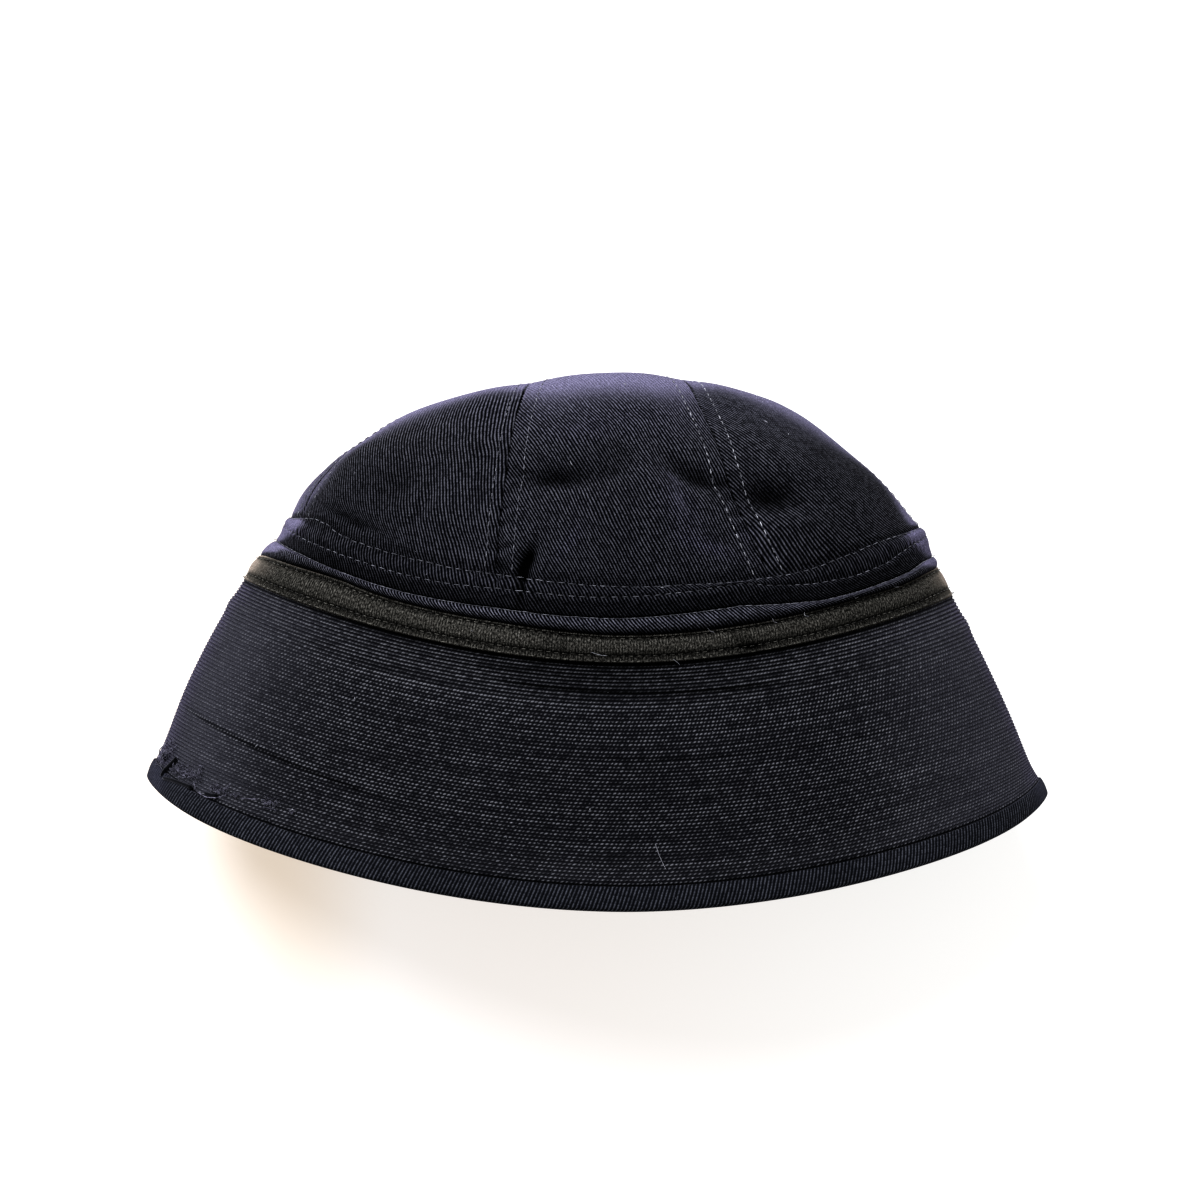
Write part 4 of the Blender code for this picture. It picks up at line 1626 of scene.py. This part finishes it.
@dataclass
class HeadTape:
    """The ribbed tape round the head opening, worn pale at its two folds."""

    surface: CapSurface
    # Below 0 the relief's last values are painted shade in the tape's grooves and along its edges.
    relief: tuple[ReliefPoint, ...] = (
        ReliefPoint(1.000, 0.45, -0.5),
        ReliefPoint(1.003, 0.85, 0.0),
        ReliefPoint(1.007, 1.10, 0.16),
        ReliefPoint(1.011, 1.05, -0.30),
        ReliefPoint(1.021, 0.95, -0.55),
        ReliefPoint(1.027, 0.55, -0.85),
        ReliefPoint(1.031, 0.45, -0.90),
        ReliefPoint(1.037, 1.00, -0.30),
        ReliefPoint(1.048, 1.50, 0.0),
        ReliefPoint(1.070, 1.75, 0.03),
        ReliefPoint(1.088, 1.60, 0.0),
        ReliefPoint(1.098, 1.15, -0.30),
        ReliefPoint(1.105, 0.55, -0.90),
        ReliefPoint(1.110, 0.80, -0.60),
        ReliefPoint(1.115, 1.35, 0.16),
        ReliefPoint(1.119, 0.55, -0.3),
    )

    def build(self) -> None:
        """Makes and dresses the tape."""
        finish = TapeFinish()
        strip = Strip(self.surface, self.relief, 0.9, 1000, 46, finish.rib_pitch, gather=0.30,
                      fold_wear_share=0.45)
        piece = wall_mesh("ribbed_head_tape", *strip.sheets(), Wrap.RING, finish.build())
        dress(piece, Slot.TAPE, "head_tape")


@dataclass(frozen=True)
class DarkRow:
    """A row of the brim that has kept dark: turn and rise of its two ends, and how dark."""

    turns: tuple[float, float]
    rises: tuple[float, float]
    share: float
    half_width: float = 0.009
    end: float = 0.03

    def wear_at(self, side: Array, rises: Array) -> Array:
        """Wear, below 0, that the row adds at these turns and rises."""
        first, last = self.turns
        away = (rises - np.interp(side, self.turns, self.rises)) / self.half_width
        within = ramp(side, first, first + self.end) * (1 - ramp(side, last - self.end, last))
        return -self.share * within * np.exp(-(away**2))


@dataclass
class Brim:
    """The quilted brim with its rows of stitches, and the binding round its edge."""

    surface: CapSurface
    wall: float = 2.0
    depth: float = 80.0
    row_pitch: float = 1.2
    stitch_pitch: float = 1.42
    row_height: float = 0.16
    row_middle: float = 0.6
    strong_height: float = 0.34
    strong: tuple[float, float] = (0.87, 0.93)
    columns: int = 270
    points_a_row: int = 4
    high_rise: float = 1.095
    binding_rise: float = 0.085
    binding_gap: float = 0.3
    binding_wall: float = 0.9
    binding_columns: int = 520
    binding_slant: float = 22.0
    binding_pitch: float = 1.2
    fold_press: float = 0.5
    fold_gap: float = 0.15
    swell: float = 0.25
    fold_row_height: float = 0.16
    edge_wear: float = 0.12
    edge_range: tuple[float, float] = (0.08, 0.3)
    left_fold_wear: float = 0.55
    right_fold_wear: float = 0.25
    rubbed_wear: float = 0.22
    rubbed_sides: tuple[float, float] = (0.11, 0.20)
    # painted shade just under the head tape's edge
    under_tape_painted_shade: float = 0.9
    top_range: tuple[float, float] = (0.975, 0.995)
    edge_row: float = 0.0925
    edge_row_width: float = 0.008
    edge_row_dark: float = 0.8
    shade_dark: float = 0.5
    shade_range: tuple[float, float] = (0.80, 0.95)
    shade_width: float = 0.11
    dark_rows: tuple[DarkRow, ...] = (
        DarkRow((-0.255, -0.10), (0.408, 0.325), 0.75),
        DarkRow((-0.07, 0.11), (0.888, 0.862), 0.7),
        DarkRow((-0.02, 0.16), (0.620, 0.585), 0.35),
    )

    def build(self) -> None:
        """Makes and dresses the brim and its binding."""
        self.build_quilt()
        self.build_binding()

    def build_quilt(self) -> None:
        """The brim's wall, ridged on its outer side by its rows of stitches."""
        rows = round(self.depth * self.high_rise / self.row_pitch * self.points_a_row)
        rises = np.arange(rows + 1) * self.row_pitch / self.points_a_row / self.depth
        outer = self.side(rises, 0.0, 1.0)
        inner = self.side(rises[:: self.points_a_row * 2], -self.wall, 0.0)
        inner.points[-1] = self.side(rises[-1:], -self.wall, 0.0).points[0]
        finish = QuiltFinish(row_pitch=self.row_pitch, stitch_pitch=self.stitch_pitch).build()
        piece = wall_mesh("quilted_brim_cloth", outer, inner, Wrap.RING, finish)
        dress(piece, Slot.QUILT, "brim")

    def side(self, rises: Array, out: float, ridged: float) -> Sheet:
        """One side of the brim.

        Args:
            rises: rises of its rows.
            out: its distance out of the cap's surface.
            ridged: share of the rows' relief that it has.

        Returns:
            The side.
        """
        turn_grid, rise_grid = np.meshgrid(ring_turns(self.columns), rises)
        along = rise_grid * self.depth
        height = self.row_height
        height = height + (self.strong_height - height) * ramp(rise_grid, *self.strong)
        height = height + self.fold_row_height * fold_wear(turn_grid, 0.02)
        ridge = np.abs(np.sin(math.pi * along / self.row_pitch)) - self.row_middle
        points = self.surface.place(turn_grid, rise_grid, out + ridged * height * ridge)
        length = float(self.surface.length_at(0.5))
        length = round(length / self.stitch_pitch) * self.stitch_pitch
        wear_and_shade = self.wear_and_shade(centred(turn_grid), rise_grid)
        return Sheet(points, turn_grid * length, along, wear_and_shade)

    def wear_and_shade(self, side: Array, rises: Array) -> Array:
        """The brim's rubbing and painted shade.

        Args:
            side: turns from the middle of the front.
            rises: rises, 0 at the brim's edge.

        Returns:
            The value: rubbed at the folds, the edge and the right; painted shade under the tape;
                dark in rows.
        """
        folds = np.where(side < 0, self.left_fold_wear, self.right_fold_wear)
        edge_row = (rises - self.edge_row) / self.edge_row_width
        wear_and_shade = self.edge_wear * (1 - ramp(rises, *self.edge_range))
        wear_and_shade = wear_and_shade + folds * fold_wear(side, 0.065)
        wear_and_shade = wear_and_shade + self.rubbed_wear * ramp(side, *self.rubbed_sides)
        # Painted shade just under the head tape's edge.
        wear_and_shade = wear_and_shade - self.under_tape_painted_shade * ramp(rises, *self.top_range)
        wear_and_shade = wear_and_shade - self.edge_row_dark * np.exp(-(edge_row**2))
        shade = np.exp(-((side / self.shade_width) ** 2))
        wear_and_shade = wear_and_shade - self.shade_dark * ramp(rises, *self.shade_range) * shade
        return wear_and_shade + sum(row.wear_at(side, rises) for row in self.dark_rows)

    def build_binding(self) -> None:
        """The folded binding: a closed channel that is lofted round the brim's edge."""
        turns = ring_turns(self.binding_columns)
        grid = self.binding_grid(turns)
        steps = np.linalg.norm(np.diff(grid, axis=0), axis=2).mean(axis=1)
        walks = np.concatenate(([0.0], np.cumsum(steps)))
        length = float(self.surface.length_at(0.0))
        pitch = self.binding_pitch / math.cos(math.radians(self.binding_slant))
        length = round(length / pitch) * pitch
        across = np.broadcast_to((turns * length)[None, :], grid.shape[:2])
        along = np.broadcast_to(walks[:, None], grid.shape[:2])
        wear_and_shade = np.broadcast_to(fold_wear(turns, 0.034)[None, :], grid.shape[:2])
        faces, cloth = Sheet(grid, across, along, wear_and_shade).corners(Wrap.RING)
        faces %= (len(grid) - 1) * len(turns)    # the last row is the first again
        finish = TwillFinish("binding_twill", self.binding_slant, self.binding_pitch, waver=0.8,
                             groove=(0.0060, 0.0062, 0.0082), ridge=(0.082, 0.085, 0.100),
                             worn_gain=(0.3, 0.3, 0.3), worn=(0.023, 0.023, 0.030),
                             nap=PaintedNapSheen((0.026, 0.026, 0.036), (0.05, 0.05, 0.07))).build()
        points = grid[:-1].reshape(-1, 3)
        piece = cloth_mesh("folded_edge_binding", points, faces, cloth, wear_and_shade[:-1], finish)
        dress(piece, Slot.BINDING, "brim_binding")

    def binding_section(self) -> list[tuple[float, float, float]]:
        """The channel's section: distance out of the surface, rise and distance past the edge."""
        middle = -self.wall / 2
        legs = np.linspace(self.binding_rise, 0.0, 9)[:-1]
        arc = np.linspace(0.0, math.pi, 11)
        section = []
        for gap, order in ((self.binding_gap + self.binding_wall, 1), (self.binding_gap, -1)):
            half = self.wall / 2 + gap
            places = [(middle + half, rise, 0.0) for rise in legs]
            places += [(middle + half * math.cos(t), 0.0, gap * math.sin(t)) for t in arc]
            places += [(middle - half, rise, 0.0) for rise in legs[::-1]]
            section += places[::order]
        return section

    def binding_grid(self, turns: Array) -> Array:
        """The binding's points.

        Args:
            turns: turns of its columns.

        Returns:
            Its rows of points, pressed flat at the folds; the last row is the first again.
        """
        edge = self.surface.place(turns, np.zeros_like(turns))
        above = self.surface.place(turns, np.full_like(turns, self.binding_rise))
        down = edge - above
        down /= np.linalg.norm(down, axis=1, keepdims=True)
        middle = -self.wall / 2
        pressed = 1 - self.fold_press * fold_wear(turns, 0.03)
        rows = []
        for out, rise, past in self.binding_section():
            swell = self.swell * math.sin(math.pi * rise / self.binding_rise)
            sign = 1.0 if out > middle else -1.0
            lifted = middle + sign * (self.wall / 2 + self.fold_gap)
            lifted = lifted + (out + sign * swell - lifted) * pressed
            point = self.surface.place(turns, np.full_like(turns, rise), lifted)
            rows.append(point + down * past)
        grid = np.array(rows + rows[:1])
        grid[..., 2] = np.maximum(grid[..., 2], 0.0)
        return grid


@dataclass(frozen=True)
class StitchKind:
    """How one kind of stitch looks: length, gap, thickness and height over the cloth."""

    length: float
    gap: float
    radius: float
    lift: float
    sink: float = 0.25

    def heights(self, shares: Array) -> Array:
        """Height over the cloth along one stitch, whose two ends dip into it."""
        return self.lift - self.sink * (2 * shares - 1) ** 4


@dataclass
class Stitching:
    """Rows of separate stitches along the hem, the tape and the crown's seams."""

    surface: CapSurface
    hem_kind: StitchKind = StitchKind(2.4, 1.1, 0.13, 0.06)
    seam_kind: StitchKind = StitchKind(2.2, 1.1, 0.13, 0.20)
    bright_kind: StitchKind = StitchKind(2.3, 0.9, 0.17, 0.10)
    tape_kind: StitchKind = StitchKind(1.9, 0.8, 0.14, 0.08)
    cord_kind: StitchKind = StitchKind(3.2, 0.0, 0.11, 0.10, 0.05)
    seam_low: float = 1.345
    seam_high: float = 2.16
    left_side: float = -3.6
    right_side: float = 5.7
    side_length: float = 160.0
    seam_steps: int = 600
    first_stitch: float = 0.4
    points_a_stitch: int = 5
    uneven_rise: float = 0.0006
    bright_seam: int = 1
    bright_sides: tuple[float, float] = (-5.3, 5.2)

    def build(self) -> None:
        """Makes and dresses every row."""
        pale = ThreadFinish("pale_thread", (0.045, 0.045, 0.05), (0.27, 0.27, 0.295)).build()
        bright = ThreadFinish("bright_thread", (0.07, 0.07, 0.075), (0.52, 0.52, 0.55)).build()
        olive = ThreadFinish("olive_thread", (0.018, 0.017, 0.014), (0.17, 0.163, 0.14)).build()
        hem = self.ring_row(1.333, 0.62, self.hem_kind) + self.ring_row(1.297, 0.88, self.hem_kind)
        self.piece("hem_row_stitches", hem, self.hem_kind, pale, Slot.TWILL)
        cord = self.ring_row(1.199, 1.15, self.cord_kind)
        self.piece("roll_edge_cord", cord, self.cord_kind, pale, Slot.TWILL)
        tape = [path for rise, out in ((1.105, 0.62), (1.029, 0.55), (1.006, 1.10))
                for path in self.ring_row(rise, out, self.tape_kind)]
        self.piece("tape_row_stitches", tape, self.tape_kind, olive, Slot.TAPE)
        plain = [path for number in range(self.surface.panel_count) if number != self.bright_seam
                 for side in (self.left_side, self.right_side)
                 for path in self.seam_row(number, side, self.seam_kind)]
        self.piece("seam_row_stitches", plain, self.seam_kind, pale, Slot.TWILL)
        rows = [path for side in self.bright_sides
                for path in self.seam_row(self.bright_seam, side, self.bright_kind)]
        self.piece("bright_seam_stitches", rows, self.bright_kind, bright, Slot.TWILL)

    def piece(self, name: str, paths: list[Array], kind: StitchKind,
              material: bpy.types.Material, slot: Slot) -> None:
        """One mesh from a list of stitches."""
        made = tube_mesh(name, paths, [kind.radius] * len(paths), 5, material, 0.75)
        dress(made, slot)

    def ring_row(self, rise: float, out: float, kind: StitchKind) -> list[Array]:
        """Stitches once round the cap at one rise.

        Args:
            rise: the row's rise.
            out: its distance out of the cap's surface.
            kind: the kind of stitch.

        Returns:
            One path a stitch.
        """
        length = float(self.surface.length_at(rise))
        count = round(length / (kind.length + kind.gap))
        shares = np.linspace(0.0, 1.0, self.points_a_stitch)
        rng = np.random.default_rng(SEED)
        paths = []
        for start in np.arange(count) / count:
            turns = start + shares * kind.length / length
            rises = np.full_like(turns, rise) + rng.normal(0.0, self.uneven_rise)
            paths.append(self.surface.place(turns, rises, out + kind.heights(shares)))
        return paths

    def seam_row(self, number: int, side: float, kind: StitchKind) -> list[Array]:
        """Stitches along one side of a seam, from the hem to near the crown's point.

        Args:
            number: the seam's number.
            side: the row's distance from the seam, less where a ring is under side_length round.
            kind: the kind of stitch.

        Returns:
            One path a stitch.
        """
        rises = np.linspace(self.seam_low, self.seam_high, self.seam_steps)
        lengths = self.surface.length_at(rises)
        offset = side * np.minimum(1.0, lengths / self.side_length)
        turns = np.array([self.surface.seam_turn(number, float(rise), float(length))
                          for rise, length in zip(rises, lengths)]) + offset / lengths
        walked = self.surface.ring_length(self.surface.place(turns, rises))
        pitch = kind.length + kind.gap
        shares = np.linspace(0.0, 1.0, self.points_a_stitch)
        paths = []
        for start in np.arange(self.first_stitch, walked[-1] - pitch, pitch):
            at = start + shares * kind.length
            path_turns = np.interp(at, walked, turns)
            path_rises = np.interp(at, walked, rises)
            paths.append(self.surface.place(path_turns, path_rises, kind.heights(shares)))
        return paths


@dataclass(frozen=True)
class Tuft:
    """A place where threads have come loose: two ends in the photograph, how many and how long."""

    start_px: tuple[float, float]
    end_px: tuple[float, float]
    count: int
    length: float
    spread: float


@dataclass(frozen=True)
class Fleck:
    """A bit of pale lint: its place in the photograph and its length."""

    x_px: float
    y_px: float
    length: float


@dataclass
class Fraying:
    """Loose threads at the brim's worn left corner and lint on the cloth."""

    surface: CapSurface
    view: Viewpoint
    brim_depth: float = 80.0
    edge_length: float = 720.0
    thread_steps: int = 8
    curl: float = 0.6
    arch: float = 0.9
    lint_length: float = 600.0
    lint_depth: float = 100.0
    lint_bow: float = 0.25
    lint_out: float = 0.9
    tufts: tuple[Tuft, ...] = (
        Tuft((162, 761), (176, 746), 46, 4.2, 1.1),
        Tuft((175, 767), (203, 777), 170, 1.8, 1.2),
        Tuft((212, 787), (229, 793), 46, 2.6, 0.8),
        Tuft((234, 793), (241, 797), 16, 1.6, 0.5),
        Tuft((266, 802), (280, 807), 28, 3.0, 0.5),
        Tuft((292, 811), (300, 814), 10, 1.4, 0.4),
    )
    slits_px: tuple[tuple[tuple[float, float], ...], ...] = (
        ((179, 758), (174, 764), (168, 770), (163, 777)),
        ((165, 779), (173, 781), (181, 783), (189, 786), (194, 788)),
        ((166, 754), (166, 757), (167, 760)),
        ((206, 794), (212, 796), (219, 796)),
    )
    flecks: tuple[Fleck, ...] = (
        Fleck(349, 583, 1.0),
        Fleck(481, 576, 1.3),
        Fleck(572, 464, 1.4),
        Fleck(338, 464, 1.1),
        Fleck(788, 437, 1.2),
        Fleck(662, 588, 1.2),
        Fleck(591, 810, 0.8),
        Fleck(295, 810, 1.0),
        Fleck(258, 747, 0.9),
        Fleck(357, 699, 1.1),
        Fleck(625, 386, 1.6),
        Fleck(765, 423, 1.3),
    )
    loops_px: tuple[tuple[tuple[float, float], ...], ...] = (
        ((196, 783), (199, 792), (208, 798), (218, 799), (227, 796)),
        ((176, 743), (169, 744), (163, 751), (162, 760)),
        ((171, 743), (165, 750), (166, 762)),
        ((243, 799), (252, 800), (261, 800)),
        ((265, 807), (272, 809), (279, 811)),
    )
    strands_px: tuple[tuple[tuple[float, float], ...], ...] = (
        ((591, 652), (597, 654), (602, 655), (607, 655)),
        ((673, 659), (676, 662), (679, 665)),
        ((655, 845), (658, 855), (662, 864), (665, 870)),
        ((706, 627), (709, 631), (713, 632)),
        ((771, 618), (772, 622), (776, 623)),
        ((802, 612), (803, 616), (807, 617)),
        ((850, 594), (852, 599), (856, 598)),
        ((890, 584), (892, 588), (896, 588)),
    )

    def build(self) -> None:
        """Makes and dresses threads, the painted shadows in the torn slits, and lint."""
        nap = ThreadFinish("frayed_nap", (0.02, 0.019, 0.026), (0.21, 0.20, 0.25)).build()
        dark = ThreadFinish("torn_shadow", (0.0006, 0.0006, 0.001), (0.002, 0.002, 0.003)).build()
        pale = ThreadFinish("pale_lint", (0.20, 0.20, 0.22), (0.5, 0.5, 0.52)).build()
        rng = np.random.default_rng(SEED)
        paths = [path for tuft in self.tufts for path in self.tuft_threads(tuft, rng)]
        radii = list(rng.uniform(0.05, 0.12, len(paths))) + [0.17] * len(self.loops_px)
        paths += [self.laid_line(loop, 1.3) for loop in self.loops_px]
        dress(tube_mesh("frayed_corner_threads", paths, radii, 4, nap), Slot.QUILT)
        # Near-black tubes in the torn slits paint the shadow inside them.
        slits = [self.laid_line(slit, 0.9) for slit in self.slits_px]
        dress(tube_mesh("torn_corner_slit_shadows", slits, [0.7] * len(slits), 6, dark), Slot.QUILT)
        bits = [self.fleck_path(fleck, rng) for fleck in self.flecks]
        bits += [self.laid_line(strand, 1.5) for strand in self.strands_px]
        radii = [0.13] * len(self.flecks) + [0.07] * len(self.strands_px)
        dress(tube_mesh("lint_and_strands", bits, radii, 4, pale), Slot.QUILT)

    def laid_line(self, pixels: Sequence[tuple[float, float]], out: float) -> Array:
        """A smooth thread laid on the cloth through pixels of the photograph."""
        places = np.array([self.surface.under_pixel(self.view, *pixel) for pixel in pixels])
        at = np.linspace(0.0, len(places) - 1, 4 * len(places))
        places[:, 0] = centred(places[:, 0])
        turns = np.interp(at, np.arange(len(places)), places[:, 0])
        rises = np.interp(at, np.arange(len(places)), places[:, 1])
        return self.surface.place(turns, rises, out)

    def tuft_threads(self, tuft: Tuft, rng: np.random.Generator) -> list[Array]:
        """Curled threads scattered between a tuft's two ends.

        Args:
            tuft: the place, the count and the length of its threads.
            rng: source of the random draws.

        Returns:
            One path a thread.
        """
        first = np.array(self.surface.under_pixel(self.view, *tuft.start_px))
        last = np.array(self.surface.under_pixel(self.view, *tuft.end_px))
        threads = []
        for _ in range(tuft.count):
            turn, rise = first + (last - first) * rng.random()
            rise = rise + rng.normal(0.0, tuft.spread) / self.brim_depth
            heading = rng.normal(0.0, 1.0)
            bend = rng.normal(0.0, 1.0)
            step = tuft.length * rng.uniform(0.5, 1.2) / self.thread_steps
            out = rng.uniform(0.1, 1.1)
            turns, rises, outs = [turn], [rise], [out]
            for k in range(1, self.thread_steps + 1):
                heading += bend * self.curl
                turn += math.cos(heading) * step / self.edge_length
                rise += math.sin(heading) * step / self.brim_depth
                arch = self.arch * math.sin(math.pi * k / (self.thread_steps + 1))
                outs.append(out + arch * rng.uniform(0.5, 1.2))
                turns.append(turn)
                rises.append(max(rise, 0.0))
            threads.append(self.surface.place(np.array(turns), np.array(rises), np.array(outs)))
        return threads

    def fleck_path(self, fleck: Fleck, rng: np.random.Generator) -> Array:
        """A short crooked fibre at a fleck's place."""
        turn, rise = self.surface.under_pixel(self.view, fleck.x_px, fleck.y_px)
        heading = rng.uniform(0.0, math.pi)
        shares = np.linspace(-0.5, 0.5, 4) * fleck.length
        bow = self.lint_bow * np.cos(shares)
        across = math.cos(heading) * shares - math.sin(heading) * bow
        along = math.sin(heading) * shares + math.cos(heading) * bow
        turns = turn + across / self.lint_length
        rises = rise + along / self.lint_depth
        return self.surface.place(turns, rises, self.lint_out)


def main() -> None:
    """Builds the scene in order, logging each piece's face count."""
    logging.basicConfig(level=logging.INFO, format="%(message)s")
    view = Viewpoint()
    view.build()
    Studio().build()
    surface = CapSurface()
    Crown(surface).build()
    Hem(surface).build()
    HeadTape(surface).build()
    Brim(surface).build()
    Stitching(surface).build()
    Fraying(surface, view).build()


if __name__ == "__main__":
    main()
